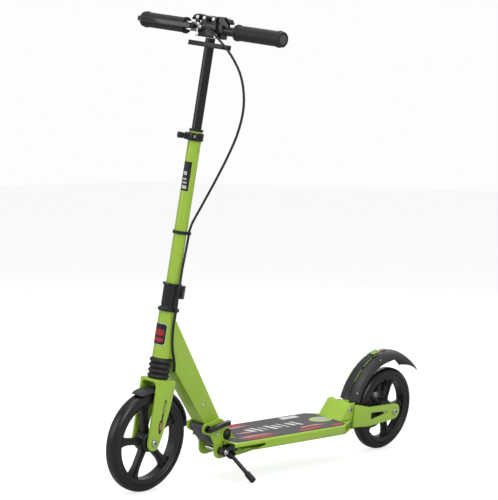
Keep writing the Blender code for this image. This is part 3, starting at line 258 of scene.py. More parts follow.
@dataclass(frozen=True)
class Finish:
    """One procedural finish.

    Attributes:
        name: the material's name.
        slot: the name of the record's material slot meant for it; not used.
        color: its linear base colour.
        rubbed: the colour where it is dusty or rubbed.
        roughness: its mean roughness.
        grain: its fine surface.
        metallic: 1 for bare metal.
        coat: the weight of a clear coat.
        patches: how strong the dusty patches are.
    """

    name: str
    slot: str
    color: tuple[float, float, float]
    rubbed: tuple[float, float, float]
    roughness: float
    grain: Grain
    metallic: float = 0.0
    coat: float = 0.0
    patches: float = 0.15

    def material(self) -> bpy.types.Material:
        """The finish as a material, built on first use.

        Returns:
            The material.
        """
        found = bpy.data.materials.get(self.name)
        if found:
            return found
        made = bpy.data.materials.new(self.name)
        made.use_nodes = True
        nodes = made.node_tree.nodes
        links = made.node_tree.links
        shader = nodes["Principled BSDF"]
        values = GRAINS[self.grain]
        surface = nodes.new("ShaderNodeGroup")
        surface.node_tree = GroupBuilder.surface()
        for name, value in (
            ("Color", (*self.color, 1.0)),
            ("Rubbed Color", (*self.rubbed, 1.0)),
            ("Roughness", self.roughness),
            ("Roughness Change", values.rough),
            ("Grain Scale", values.scale),
            ("Stretch", values.stretch),
            ("Patches", self.patches),
        ):
            surface.inputs[name].default_value = value
        bump = nodes.new("ShaderNodeBump")
        bump.inputs["Strength"].default_value = 0.35
        bump.inputs["Distance"].default_value = values.height
        links.new(surface.outputs["Color"], shader.inputs["Base Color"])
        links.new(surface.outputs["Roughness"], shader.inputs["Roughness"])
        links.new(surface.outputs["Height"], bump.inputs["Height"])
        links.new(bump.outputs["Normal"], shader.inputs["Normal"])
        shader.inputs["Metallic"].default_value = self.metallic
        shader.inputs["Coat Weight"].default_value = self.coat
        shader.inputs["Coat Roughness"].default_value = 0.12
        made.diffuse_color = (*self.color, 1.0)
        return made


GREEN = Finish(
    "lime_paint",
    "green",
    (0.385, 0.615, 0.052),
    (0.45, 0.64, 0.10),
    0.36,
    Grain.POWDER,
    coat=0.25,
    patches=0.3,
)
BLACK_METAL = Finish(
    "black_paint", "black_metal", (0.008, 0.008, 0.010), (0.03, 0.03, 0.034), 0.3, Grain.SATIN, coat=0.15
)
BLACK_PLASTIC = Finish(
    "black_nylon", "black_plastic", (0.010, 0.010, 0.012), (0.03, 0.03, 0.033), 0.38, Grain.MOULDED
)
FENDER_PLASTIC = Finish(
    "fender_nylon", "black_plastic", (0.030, 0.029, 0.034), (0.08, 0.08, 0.09), 0.45, Grain.MOULDED
)
STRIP_PLASTIC = Finish(
    "strip_nylon", "black_plastic", (0.075, 0.073, 0.085), (0.13, 0.13, 0.14), 0.5, Grain.MOULDED
)
RUBBER = Finish(
    "black_rubber", "rubber", (0.012, 0.012, 0.014), (0.035, 0.035, 0.037), 0.5, Grain.RUBBER, patches=0.3
)
GLOSS_BLACK = Finish(
    "gloss_black", "black_metal", (0.008, 0.008, 0.010), (0.03, 0.03, 0.03), 0.14, Grain.SATIN, coat=0.4
)
TYRE = Finish(
    "tyre_black", "tyre", (0.008, 0.008, 0.009), (0.03, 0.03, 0.03), 0.3, Grain.RUBBER, patches=0.25
)
STEEL = Finish(
    "plated_steel", "steel", (0.62, 0.62, 0.64), (0.45, 0.45, 0.46), 0.26, Grain.BRUSHED, metallic=1.0
)
GREY_PLASTIC = Finish(
    "grey_nylon", "grey_plastic", (0.075, 0.075, 0.085), (0.13, 0.13, 0.14), 0.55, Grain.MOULDED
)
SHEET_GREY = Finish(
    "sheet_print_grey", "grip_tape", (0.085, 0.08, 0.09), (0.15, 0.14, 0.15), 0.75, Grain.RUBBER, patches=0.5
)
SHEET_RED = Finish(
    "sheet_print_red", "grip_tape", (0.46, 0.055, 0.05), (0.5, 0.12, 0.1), 0.7, Grain.RUBBER, patches=0.4
)
SHEET_PINK = Finish(
    "sheet_print_pink", "grip_tape", (0.62, 0.26, 0.25), (0.7, 0.4, 0.38), 0.7, Grain.RUBBER, patches=0.4
)
SHEET_WHITE = Finish(
    "sheet_print_white", "grip_tape", (0.72, 0.72, 0.72), (0.5, 0.5, 0.5), 0.65, Grain.RUBBER, patches=0.4
)
SHEET_SILVER = Finish(
    "sheet_print_silver", "grip_tape", (0.40, 0.41, 0.43), (0.5, 0.5, 0.52), 0.5, Grain.RUBBER, patches=0.3
)
ORANGE = Finish("sticker_orange", "black_plastic", (0.60, 0.24, 0.13), (0.5, 0.25, 0.15), 0.4, Grain.SATIN)
LABEL_PALE = Finish("label_pale", "black_plastic", (0.60, 0.62, 0.58), (0.5, 0.5, 0.5), 0.45, Grain.SATIN)
BADGE_RED = Finish("badge_red", "black_plastic", (0.42, 0.02, 0.03), (0.4, 0.1, 0.1), 0.35, Grain.SATIN)
DECAL_PALE = Finish("decal_pale", "black_plastic", (0.62, 0.50, 0.52), (0.7, 0.6, 0.6), 0.45, Grain.SATIN)


# ---------------------------------------------------------------- shapes


class Shape:
    """A mesh being modelled, in millimetres, until it is finished as a piece."""

    def __init__(self) -> None:
        """Starts with nothing in it."""
        self.bm = bmesh.new()

    def lathe(self, profile: Outline, steps: int, closed: bool = False) -> Shape:
        """Spins a profile all the way round Z.

        Args:
            profile: (radius, height) points, starting and ending on the axis unless closed.
            steps: faces round the axis.
            closed: whether the last point joins the first.

        Returns:
            The shape itself.
        """
        points = [self.bm.verts.new((r, 0.0, z)) for r, z in profile]
        pairs = list(zip(points, points[1:]))
        if closed:
            pairs.append((points[-1], points[0]))
        edges = [self.bm.edges.new(pair) for pair in pairs]
        bmesh.ops.spin(
            self.bm,
            geom=points + edges,
            cent=(0, 0, 0),
            axis=(0, 0, 1),
            angle=math.tau,
            steps=steps,
            use_merge=True,
        )
        bmesh.ops.remove_doubles(self.bm, verts=self.bm.verts, dist=0.001)
        return self

    def rod(self, radius: float, start: Point, end: Point, sides: int) -> Shape:
        """Adds a round bar between two points.

        Args:
            radius: its radius.
            start: the middle of one end.
            end: the middle of the other.
            sides: faces round it.

        Returns:
            The shape itself.
        """
        first = Vector(start)
        second = Vector(end)
        span = second - first
        made = bmesh.ops.create_cone(
            self.bm, cap_ends=True, segments=sides, radius1=radius, radius2=radius, depth=span.length
        )["verts"]
        spin = span.to_track_quat("Z", "Y").to_matrix().to_4x4()
        bmesh.ops.transform(self.bm, matrix=Matrix.Translation((first + second) / 2) @ spin, verts=made)
        return self

    def plate(self, outline: Outline, bottom: float, top: float) -> Shape:
        """Adds a flat outline in X and Y with a thickness along Z.

        Args:
            outline: its corners in order.
            bottom: the height of its underside.
            top: the height of its upper side.

        Returns:
            The shape itself.
        """
        corners = [self.bm.verts.new((x, y, bottom)) for x, y in outline]
        face = self.bm.faces.new(corners)
        grown = bmesh.ops.extrude_face_region(self.bm, geom=[face])["geom"]
        moved = [item for item in grown if isinstance(item, bmesh.types.BMVert)]
        bmesh.ops.translate(self.bm, verts=moved, vec=(0, 0, top - bottom))
        bmesh.ops.triangulate(self.bm, faces=[f for f in self.bm.faces if len(f.verts) > 4])
        return self

    def merged(self, node: bpy.types.Object) -> Shape:
        """Takes a merged copy of a framed node's mesh, in millimetres.

        Args:
            node: the framed node.

        Returns:
            The shape itself.
        """
        self.bm.from_mesh(node.data)
        bmesh.ops.scale(self.bm, vec=(1 / MM,) * 3, verts=self.bm.verts)
        bmesh.ops.remove_doubles(self.bm, verts=self.bm.verts, dist=0.002)
        bmesh.ops.dissolve_limit(
            self.bm, angle_limit=math.radians(0.3), verts=self.bm.verts, edges=self.bm.edges
        )
        return self

    def bevel(self, width: float, segments: int = 2, angle: float = 35.0) -> Shape:
        """Rounds every edge sharper than an angle.

        Args:
            width: how far the rounding reaches from the edge.
            segments: faces across it.
            angle: the angle in degrees.

        Returns:
            The shape itself.
        """
        limit = math.radians(angle)
        sharp = [e for e in self.bm.edges if e.is_manifold and e.calc_face_angle(0.0) > limit]
        bmesh.ops.bevel(
            self.bm,
            geom=sharp,
            offset=width,
            offset_type="OFFSET",
            affect="EDGES",
            segments=segments,
            profile=0.5,
            material=-1,
            clamp_overlap=True,
        )
        return self

    def wrap(self, radius: float, middle: float, slices: int = 16) -> Shape:
        """Bends a flat shape round Z: its X runs round the cylinder and its Y up it.

        Args:
            radius: the cylinder's radius.
            middle: the direction of its middle, in degrees from X.
            slices: cuts across it, which let it bend.

        Returns:
            The shape itself.
        """
        low = min(v.co.x for v in self.bm.verts)
        high = max(v.co.x for v in self.bm.verts)
        for i in range(1, slices):
            everything = list(self.bm.verts) + list(self.bm.edges) + list(self.bm.faces)
            cut = (low + (high - low) * i / slices, 0, 0)
            bmesh.ops.bisect_plane(self.bm, geom=everything, dist=0.001, plane_co=cut, plane_no=(1, 0, 0))
        for v in self.bm.verts:
            turn = v.co.x / radius + math.radians(middle)
            reach = radius + v.co.z
            v.co = Vector((reach * math.cos(turn), reach * math.sin(turn), v.co.y))
        return self

    def turn(self, degrees: float, axis: str = "Z") -> Shape:
        """Turns everything about the origin.

        Args:
            degrees: how far.
            axis: the axis it turns about.

        Returns:
            The shape itself.
        """
        spin = Matrix.Rotation(math.radians(degrees), 3, axis)
        bmesh.ops.rotate(self.bm, cent=(0, 0, 0), matrix=spin, verts=self.bm.verts)
        return self

    def copies(self, count: int) -> Shape:
        """Repeats everything evenly round Z.

        Args:
            count: how many there are in the end.

        Returns:
            The shape itself.
        """
        source = list(self.bm.verts) + list(self.bm.edges) + list(self.bm.faces)
        for i in range(1, count):
            made = bmesh.ops.duplicate(self.bm, geom=source)["geom"]
            points = [item for item in made if isinstance(item, bmesh.types.BMVert)]
            spin = Matrix.Rotation(math.tau * i / count, 3, "Z")
            bmesh.ops.rotate(self.bm, cent=(0, 0, 0), matrix=spin, verts=points)
        return self

    def piece(
        self,
        name: str,
        frame: Matrix,
        finish: Finish,
        body: str,
        stands_for: tuple[str, ...] = (),
        recalculate: bool = True,
        smooth: float = 38.0,
    ) -> bpy.types.Object:
        """Finishes the shape as a piece of the scooter.

        Args:
            name: the piece's name.
            frame: the frame that the shape was modelled in.
            finish: its finish.
            body: the body it moves with.
            stands_for: the framed nodes that it replaces.
            recalculate: whether its faces are turned outwards.
            smooth: edges sharper than this many degrees stay sharp.

        Returns:
            The finished object, which sits at the origin.
        """
        if recalculate:
            bmesh.ops.recalc_face_normals(self.bm, faces=self.bm.faces)
        self.bm.transform(frame @ Matrix.Scale(MM, 4))
        mesh = bpy.data.meshes.new(name)
        self.bm.to_mesh(mesh)
        self.bm.free()
        mesh.materials.append(finish.material())
        mesh.shade_smooth()
        mesh.set_sharp_from_angle(angle=math.radians(smooth))
        obj = bpy.data.objects.new(name, mesh)
        bpy.context.scene.collection.objects.link(obj)
        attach(obj, body)
        if stands_for:
            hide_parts(*stands_for)
        LOG.info("%s on %s, %d faces", name, body, len(mesh.polygons))
        return obj


@dataclass
class Scooter:
    """What every sub-assembly needs from the frame.

    Attributes:
        nodes: the framed nodes by name.
        home: each node's body.
    """

    nodes: dict[str, bpy.types.Object]
    home: dict[str, str]

    def dress(
        self, names: list[str], finish: Finish, rounding: float = 0.0, segments: int = 2
    ) -> list[bpy.types.Object]:
        """Gives framed nodes a finish on a merged copy with smooth faces and rounded edges.

        Args:
            names: the nodes.
            finish: their finish.
            rounding: how much their sharp edges are rounded, in millimetres.
            segments: faces across each rounded edge.

        Returns:
            The dressed copies.
        """
        made = []
        for name in names:
            shape = Shape().merged(self.nodes[name])
            if rounding:
                shape.bevel(rounding, segments)
            body = self.home[name]
            made.append(shape.piece(name + "_body", PLAIN, finish, body, (name,), recalculate=False))
        return made


# ---------------------------------------------------------------- sub-assemblies


@dataclass
class Wheel:
    """One wheel: tyre, five-spoke rim and bearings.

    Attributes:
        name: front or rear.
        radius: the tyre's outer radius.
        frame: the wheel's hub frame, with Z along the axle.
        body: the body it turns with.
        phase: how far its spokes are turned, in degrees.
        edge: the radius of the tyre's shoulders.
        depth: how deep the tyre is from its tread to its seat.
    """

    name: str
    radius: float
    frame: Matrix
    body: str
    phase: float
    edge: float = 11.6
    depth: float = 14.0

    def build(self) -> None:
        """Models and places the wheel's pieces."""
        self.tyre()
        self.rim()
        for side, word in ((1, "left"), (-1, "right")):
            self.bearing(side, word)

    def tyre(self) -> None:
        """The solid tyre, with a raised line beside each shoulder."""
        shoulder = self.radius - self.edge
        flat = WHEEL_HALF_WIDTH - self.edge
        seat = self.radius - self.depth
        half = [(seat, WHEEL_HALF_WIDTH - 0.5), (shoulder - 1.1, WHEEL_HALF_WIDTH - 0.5)]
        half.append((shoulder - 0.8, WHEEL_HALF_WIDTH))
        for i in range(11):
            turn = math.radians(90 - 9 * i)
            half.append((shoulder + self.edge * math.cos(turn), flat + self.edge * math.sin(turn)))
        profile = half + [(r, -z) for r, z in reversed(half)]
        shape = Shape().lathe(profile, 96, closed=True)
        shape.piece(self.name + "_tyre_body", self.frame, TYRE, self.body, (self.name + "_tyre",))

    def rim(self) -> None:
        """The moulded rim: outer ring with flanges, hub and five flared spokes with a rib each."""
        seat = self.radius - self.depth - 0.3
        inner = seat - 11.0
        half = [(seat, 13.0), (seat - 1.2, 13.9), (seat - 4.0, 13.9), (seat - 5.2, 12.4)]
        half += [(inner + 1.5, 11.0), (inner, 9.4)]
        profile = half + [(r, -z) for r, z in reversed(half)]
        shape = Shape().lathe(profile, 96, closed=True)
        hub = [(11.4, 14.0), (13.2, 14.4), (17.6, 13.6), (19.4, 12.0), (20.5, 6.5)]
        hub += [(r, -z) for r, z in reversed(hub)]
        bore = [(11.4, -7.5), (7.0, -7.2), (7.0, 7.2), (11.4, 7.5)]
        hub_shape = Shape().lathe(hub + bore, 48, closed=True)
        spoke = Shape()
        outline = [(17.0, -7.6), (30.0, -6.6), (inner * 0.72, -6.6), (inner * 0.88, -9.2)]
        outline.append((inner + 1.0, -15.5))
        outline += [(x, -y) for x, y in reversed(outline)]
        spoke.plate(outline, -5.6, 5.6).bevel(1.2, 2, 50)
        reach = inner + 0.6
        ridge = Shape().plate([(16.0, -2.4), (reach, -3.4), (reach, 3.4), (16.0, 2.4)], -8.4, 8.4)
        ridge.bevel(1.0, 2, 50)
        for part in (spoke, ridge):
            part.copies(5).turn(self.phase)
        for extra in (hub_shape, spoke, ridge):
            bmesh.ops.recalc_face_normals(extra.bm, faces=extra.bm.faces)
            scratch = bpy.data.meshes.new("scratch")
            extra.bm.to_mesh(scratch)
            shape.bm.from_mesh(scratch)
            bpy.data.meshes.remove(scratch)
            extra.bm.free()
        shape.piece(self.name + "_rim_body", self.frame, BLACK_PLASTIC, self.body, (self.name + "_rim",))

    def bearing(self, side: int, word: str) -> None:
        """One bearing with its shield set back between its rings.

        Args:
            side: 1 for left, -1 for right.
            word: the side's name.
        """
        top = 14.4
        back = top - 7
        shield = top - 0.6
        profile = [(11.0, back), (11.0, top), (9.4, top), (9.2, shield)]
        profile += [(6.4, shield), (6.2, top), (4.3, top), (4.3, back)]
        shape = Shape().lathe([(r, z * side) for r, z in profile], 36, closed=True)
        name = f"{self.name}_bearing_{word}"
        mirror = Matrix.Scale(-1, 4, (0, 0, 1))
        shape.piece(name + "_body", self.frame @ mirror, STEEL, self.body, (name,))


@dataclass(frozen=True)
class FenderShell:
    """A curved shell round a wheel's axle, which is its local Z.

    Attributes:
        radius: the crown's outer radius.
        half: half its width at the skirts.
        drop: how far the skirts hang below the crown.
        start: where it starts, in degrees.
        end: where it ends.
        nose: degrees over which its far end narrows to a rounded tip.
        tail: degrees over which its near end narrows.
        crown: half the width of its flat top.
        shrink_from: where the skirts start to get shorter, in degrees.
        shrink_to: what is left of them at the end.
        wall: how thick it is.
        across: faces across it.
    """

    radius: float
    half: float
    drop: float
    start: float
    end: float
    nose: float = 0.0
    tail: float = 0.0
    crown: float = 0.0
    shrink_from: float = 400.0
    shrink_to: float = 1.0
    wall: float = 2.0
    across: int = 18

    def point(self, turn: float) -> tuple[float, float]:
        """One point of the cross-section.

        Args:
            turn: how far it is round the section from the crown, in radians.

        Returns:
            Its radius and side.
        """
        side = self.half * math.sin(turn)
        if self.crown:
            side = self.crown * math.sin(turn) + (self.half - self.crown) * math.sin(turn) ** 3
        return self.radius - self.drop * (1 - math.cos(turn)) ** 1.3, side

    def section(self) -> Outline:
        """The cross-section, from one skirt's edge to the other's."""
        return [self.point(math.pi * (i / self.across - 0.5)) for i in range(self.across + 1)]

    def shape(self) -> Shape:
        """The shell.

        Returns:
            The shape, closed, with its wall inside.
        """
        made = Shape()
        bm = made.bm
        points = [bm.verts.new((r, 0.0, y)) for r, y in self.section()]
        edges = [bm.edges.new(pair) for pair in zip(points, points[1:])]
        ahead = Matrix.Rotation(math.radians(self.start), 3, "Z")
        bmesh.ops.rotate(bm, cent=(0, 0, 0), matrix=ahead, verts=points)
        bmesh.ops.spin(
            bm,
            geom=points + edges,
            cent=(0, 0, 0),
            axis=(0, 0, 1),
            angle=math.radians(self.end - self.start),
            steps=round((self.end - self.start) / 2),
            use_merge=False,
        )
        for v in bm.verts:
            turn = math.degrees(math.atan2(v.co.y, v.co.x))
            reach = math.hypot(v.co.x, v.co.y)
            below = self.radius - reach
            if turn > self.shrink_from:
                share = (turn - self.shrink_from) / (self.end - self.shrink_from)
                below *= 1 - (1 - self.shrink_to) * share
            for room, left in ((self.nose, self.end - turn), (self.tail, turn - self.start)):
                if room and left < room:
                    narrow = math.sqrt(max(0.0, 1 - (1 - left / room) ** 2)) * 0.86 + 0.14
                    v.co.z *= narrow
                    below *= narrow
            reach = self.radius - below
            v.co.x = reach * math.cos(math.radians(turn))
            v.co.y = reach * math.sin(math.radians(turn))
        bmesh.ops.recalc_face_normals(bm, faces=bm.faces)
        middle = max(bm.faces, key=lambda f: f.calc_center_median().length)
        outward = middle.calc_center_median()
        outward.z = 0
        if middle.normal.dot(outward) < 0:
            bmesh.ops.reverse_faces(bm, faces=bm.faces)
        bmesh.ops.solidify(bm, geom=list(bm.faces), thickness=self.wall)
        return made


class Deck:
    """The footboard with its printed non-slip sheet."""

    def build(self, scooter: Scooter) -> None:
        """Dresses the deck and adds its print.

        Args:
            scooter: the framed nodes.
        """
        scooter.dress(["deck"], GREEN, 1.4, 3)
        scooter.dress(["deck_grip"], SHEET_GREY)
        streaks = [
            (
                SHEET_RED,
                [(-236, 44), (-262, 51), (-330, 52), (-300, 46), (-352, 43), (-304, 40), (-270, 41)],
            ),
            (SHEET_PINK, [(-232, 34), (-258, 39), (-300, 36), (-344, 37), (-318, 31), (-268, 29)]),
            (SHEET_RED, [(-240, -40), (-268, -51), (-338, -52), (-308, -46), (-350, -41), (-300, -39)]),
            (SHEET_PINK, [(-250, -30), (-300, -36), (-346, -33), (-300, -28)]),
            (
                SHEET_RED,
                [(-400, 52), (-440, 52), (-500, 46), (-466, 44), (-498, 38), (-452, 40), (-418, 44)],
            ),
            (SHEET_PINK, [(-430, 34), (-470, 30), (-520, 33), (-486, 24), (-440, 27)]),
            (SHEET_RED, [(-510, 51), (-545, 51), (-561, 42), (-540, 40), (-520, 44)]),
            (SHEET_PINK, [(-256, 6), (-290, 12), (-322, 8), (-290, 3)]),
        ]
        for i, (finish, outline) in enumerate(streaks):
            self.mark(f"deck_flame_{i}", outline, 0.0, 0.22, finish)
        self.bars()
        patch = [(-452, -34), (-452, -48), (-506, -48), (-506, -34)]
        label = Shape().plate(patch, SHEET_TOP, SHEET_TOP + 0.25).bevel(0.1, 1)
        label.piece("deck_label", UPRIGHT, SHEET_WHITE, "base")
        self.mark("deck_heel_ring", self.oval(-536, 33, 18), 0.0, 0.25, GREEN)
        self.mark("deck_heel_inset", self.oval(-538, 22, 12), 0.2, 0.5, SHEET_SILVER)

    def mark(self, name: str, outline: Outline, bottom: float, top: float, finish: Finish) -> None:
        """Lays one flat mark on the sheet.

        Args:
            name: the piece's name.
            outline: its corners.
            bottom: its underside's height over the sheet.
            top: its upper side's height over the sheet.
            finish: its finish.
        """
        shape = Shape().plate(outline, SHEET_TOP + bottom, SHEET_TOP + top)
        shape.piece(name, UPRIGHT, finish, "base")

    def oval(self, middle: float, length: float, width: float) -> Outline:
        """An oval outline.

        Args:
            middle: how far forwards its middle is.
            length: half its length.
            width: half its width.

        Returns:
            Its corners.
        """
        turns = [math.tau * i / 40 for i in range(40)]
        return [(middle + length * math.cos(a), width * math.sin(a)) for a in turns]

    def bars(self) -> None:
        """A row of plain slanted bars down the middle of the sheet."""
        for i in range(8):
            x = -300 - 21 * i
            width = 12 - (i % 3) * 3
            height = 11 + (i % 2) * 4
            outline = [(x, -height), (x - width, -height + 2), (x - width - 8, height), (x - 8, height - 2)]
            self.mark(f"deck_bar_{i}", outline, 0.0, 0.24, SHEET_WHITE)


class Fold:
    """The folding bracket and the front frame."""

    def build(self, scooter: Scooter) -> None:
        """Dresses the bracket, the beam and the kickstand.

        Args:
            scooter: the framed nodes.
        """
        scooter.dress(["fold_cheek_left", "fold_cheek_right"], GREEN, 0.6, 2)
        scooter.dress(["front_frame"], GREEN)
        scooter.dress(["fold_clamp_shaft", "kickstand_bracket", "kickstand_leg"], BLACK_METAL, 0.3, 1)
        scooter.dress(["fold_lever"], BLACK_METAL, 0.5, 2)
        scooter.dress(["kickstand_foot"], RUBBER, 0.4, 2)
        scooter.dress(["release_pedal"], GREY_PLASTIC, 0.5, 2)
        scooter.dress(["fold_pivot_bolt"], BLACK_METAL, 0.4, 2)
        scooter.dress(["kickstand_bolt"], STEEL, 0.4, 2)
        self.bolts()
        self.pedal_ribs()
        self.webs()

    def bolts(self) -> None:
        """Small bolts on the left cheek and the beam, each with a socket in its head."""
        for name, x, y, z, radius, body in (
            ("cheek_bolt", -182.0, 22.4, 98.0, 3.6, "base"),
            ("beam_bolt", -138.0, 17.1, 161.0, 3.4, "front_section"),
        ):
            profile = [(0, 0.6), (radius * 0.5, 0.6), (radius * 0.5, 1.8), (radius * 0.8, 1.9)]
            profile += [(radius, 1.2), (radius, -1.0), (0, -1.0)]
            Shape().lathe(profile, 24).turn(-90, "X").piece(name, at(UPRIGHT, x, y, z), STEEL, body)
        washer = [(11.5, 0.0), (11.5, 1.0), (10.8, 1.4), (7.9, 1.4), (7.9, 0.0)]
        place = at(UPRIGHT, -212.0, 22.45, 95.0)
        Shape().lathe(washer, 36, closed=True).turn(-90, "X").piece("pivot_washer", place, RUBBER, "base")

    def webs(self) -> None:
        """The bracket's tapering webs, which reach back under the deck from the cheeks."""
        outline = [(-233.0, 46.0), (-250.0, 46.5), (-300.0, 52.0), (-318.0, 57.0)]
        outline += [(-326.0, 63.5), (-233.0, 63.5)]
        for side, word in ((1, "left"), (-1, "right")):
            frame = at(UPRIGHT, 0, side * 20.3, 0) @ ACROSS
            shape = Shape().plate(outline, -2.0, 2.0).bevel(0.6, 2)
            shape.piece("bracket_web_" + word, frame, GREEN, "base")

    def pedal_ribs(self) -> None:
        """The raised ribs across the release pedal's tread."""
        shape = Shape()
        start = Vector((-13.8, 0, -12.8))
        end = Vector((-29.5, 0, -31.0))
        for i in range(5):
            spot = start.lerp(end, (i + 0.5) / 5)
            shape.rod(0.9, (spot.x, -15.5, spot.z), (spot.x, 15.5, spot.z), 10)
        shape.piece("pedal_ribs", at(UPRIGHT, -150.0, 0, 112.0), GREY_PLASTIC, "pedal")


class FrontEnd:
    """Fork, fender, bellows and column."""

    def build(self, scooter: Scooter) -> None:
        """Dresses the fork and column, and models the bellows and the stickers.

        Args:
            scooter: the framed nodes.
        """
        scooter.dress(["fork"], GREEN, 0.7, 2)
        scooter.dress(["steering_tube"], GREEN)
        scooter.dress(["headset_clamp"], BLACK_METAL, 0.4, 2)
        scooter.dress(["collar_clamp", "collar_lever"], BLACK_METAL, 0.4, 2)
        scooter.dress(["cable_ring_clip", "collar_bushing"], BLACK_PLASTIC, 0.3, 1)
        scooter.dress(["inner_tube"], BLACK_METAL)
        scooter.dress(["front_axle"], STEEL, 0.4, 2)
        scooter.dress(["headset_bearing"], STEEL)
        spring = scooter.dress(["suspension_spring"], STEEL)[0]
        self.give(spring)
        self.mudguard()
        self.bellows()
        self.label()
        self.badge()
        self.fork_sticker()
        self.collar_details()

    def mudguard(self) -> None:
        """The front mudguard: a round shell over the tyre, with lobed ends."""
        cover = FenderShell(106.8, 17.0, 7.5, 61.0, 166.0, nose=20.0, tail=9.0)
        frame = at(STEER, AXLE_OFFSET, 0, 0) @ ACROSS
        shell = cover.shape()
        shell.piece(
            "front_fender_body", frame, FENDER_PLASTIC, "fork_slider", ("front_fender",), smooth=60.0
        )

    def bellows(self) -> None:
        """The rubber boot with four soft round folds."""
        bottom = 123.6
        top = 164.1
        pitch = (top - bottom) / 4
        outer = []
        for i in range(49):
            level = top - (top - bottom) * i / 48
            wave = abs(math.sin(math.pi * (level - bottom) / pitch))
            outer.append((17.8 + 3.7 * wave, level))
        profile = outer + [(13.2, bottom), (13.2, top)]
        boot = Shape().lathe(profile, 64, closed=True)
        piece = boot.piece("bellows_body", STEER, RUBBER, "fork_slider", ("bellows",))
        self.give(piece)

    def give(self, obj: bpy.types.Object) -> None:
        """Gives a sprung piece its own copy of its mesh.

        Args:
            obj: the piece.
        """
        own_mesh(obj)

    def label(self) -> None:
        """A plain dark label round the front right of the column, with pale bars and no words."""
        dark = [(-9.0, 490.0), (9.0, 490.0), (9.0, 546.0), (-9.0, 546.0)]
        field = Shape().plate(dark, 0.0, 0.12).wrap(COLUMN_RADIUS, 10.0)
        field.piece("column_label", STEER, BLACK_PLASTIC, "column")
        for i, (low, high) in enumerate(((494.0, 500.0), (504.0, 507.0), (511.0, 514.0), (520.0, 527.0))):
            bar = [(-6.0, low), (5.0 - i, low), (5.0 - i, high), (-6.0, high)]
            shape = Shape().plate(bar, 0.12, 0.2).wrap(COLUMN_RADIUS, 10.0, 10)
            shape.piece(f"column_label_bar_{i}", STEER, LABEL_PALE, "column")

    def badge(self) -> None:
        """A plain plaque on the head tube: pale rim, black field and two red bands."""
        for name, half, low, high, bottom, top, finish in (
            ("badge_rim", 15.5, 190.0, 232.0, 0.0, 0.35, LABEL_PALE),
            ("badge_field", 14.4, 191.2, 230.8, 0.35, 0.6, BLACK_PLASTIC),
            ("badge_band_low", 11.5, 196.0, 204.0, 0.6, 0.75, BADGE_RED),
            ("badge_band_high", 11.5, 208.0, 220.0, 0.6, 0.75, BADGE_RED),
        ):
            corner = 3.0
            side = half - corner
            outline = [(-side, low), (side, low), (half, low + corner), (half, high - corner)]
            outline += [(side, high), (-side, high), (-half, high - corner), (-half, low + corner)]
            shape = Shape().plate(outline, bottom, top).wrap(HEAD_TUBE_RADIUS, 2.0, 18)
            shape.piece(name, STEER, finish, "front_section")

    def fork_sticker(self) -> None:
        """A dark leaf-shaped sticker with a brick-coloured window on the left fork leg."""
        frame = at(STEER, 0, 23.25, 0) @ ACROSS
        dark = [(-5.5, 85.0), (-4.5, 80.0), (-3.5, 65.0), (-3.2, 52.0), (-3.6, 48.0), (0.5, 42.0)]
        dark.append((1.5, 32.0))
        dark += [(0.0, 24.0), (-2.0, 18.5), (-5.5, 18.5), (-7.5, 24.0), (-8.0, 34.0), (-7.5, 42.0)]
        dark += [(-6.5, 48.0), (-8.0, 55.0), (-9.5, 70.0), (-10.0, 82.0), (-8.5, 86.0)]
        Shape().plate(dark, -0.12, 0.0).piece("fork_sticker_dark", frame, BLACK_PLASTIC, "fork_slider")
        slot = [(-6.5, 82.0), (-5.6, 76.0), (-4.8, 60.0), (-6.2, 56.0), (-7.8, 68.0), (-8.2, 80.0)]
        Shape().plate(slot, -0.2, -0.12).piece("fork_sticker_slot", frame, GREEN, "fork_slider")
        bright = [(-5.5, 41.0), (-1.5, 40.5), (-0.8, 30.0), (-3.0, 25.0), (-5.8, 27.0), (-6.3, 34.0)]
        Shape().plate(bright, -0.2, -0.12).piece("fork_sticker_window", frame, ORANGE, "fork_slider")

    def collar_details(self) -> None:
        """The rivet and the clamp bolt's head on the collar."""
        outwards = Matrix.Rotation(math.radians(90), 4, "Y")
        for name, degrees, level, radius in (
            ("collar_rivet", 38.0, 595.0, 2.4),
            ("collar_hex_bolt", -66.0, 594.5, 3.2),
        ):
            profile = [(0, 1.6), (radius * 0.7, 1.5), (radius, 0.7), (radius, -0.6), (0, -0.6)]
            turn = Matrix.Rotation(math.radians(degrees), 4, "Z")
            frame = at(STEER @ turn, 16.2, 0, level) @ outwards
            Shape().lathe(profile, 20).piece(name, frame, STEEL, "column")


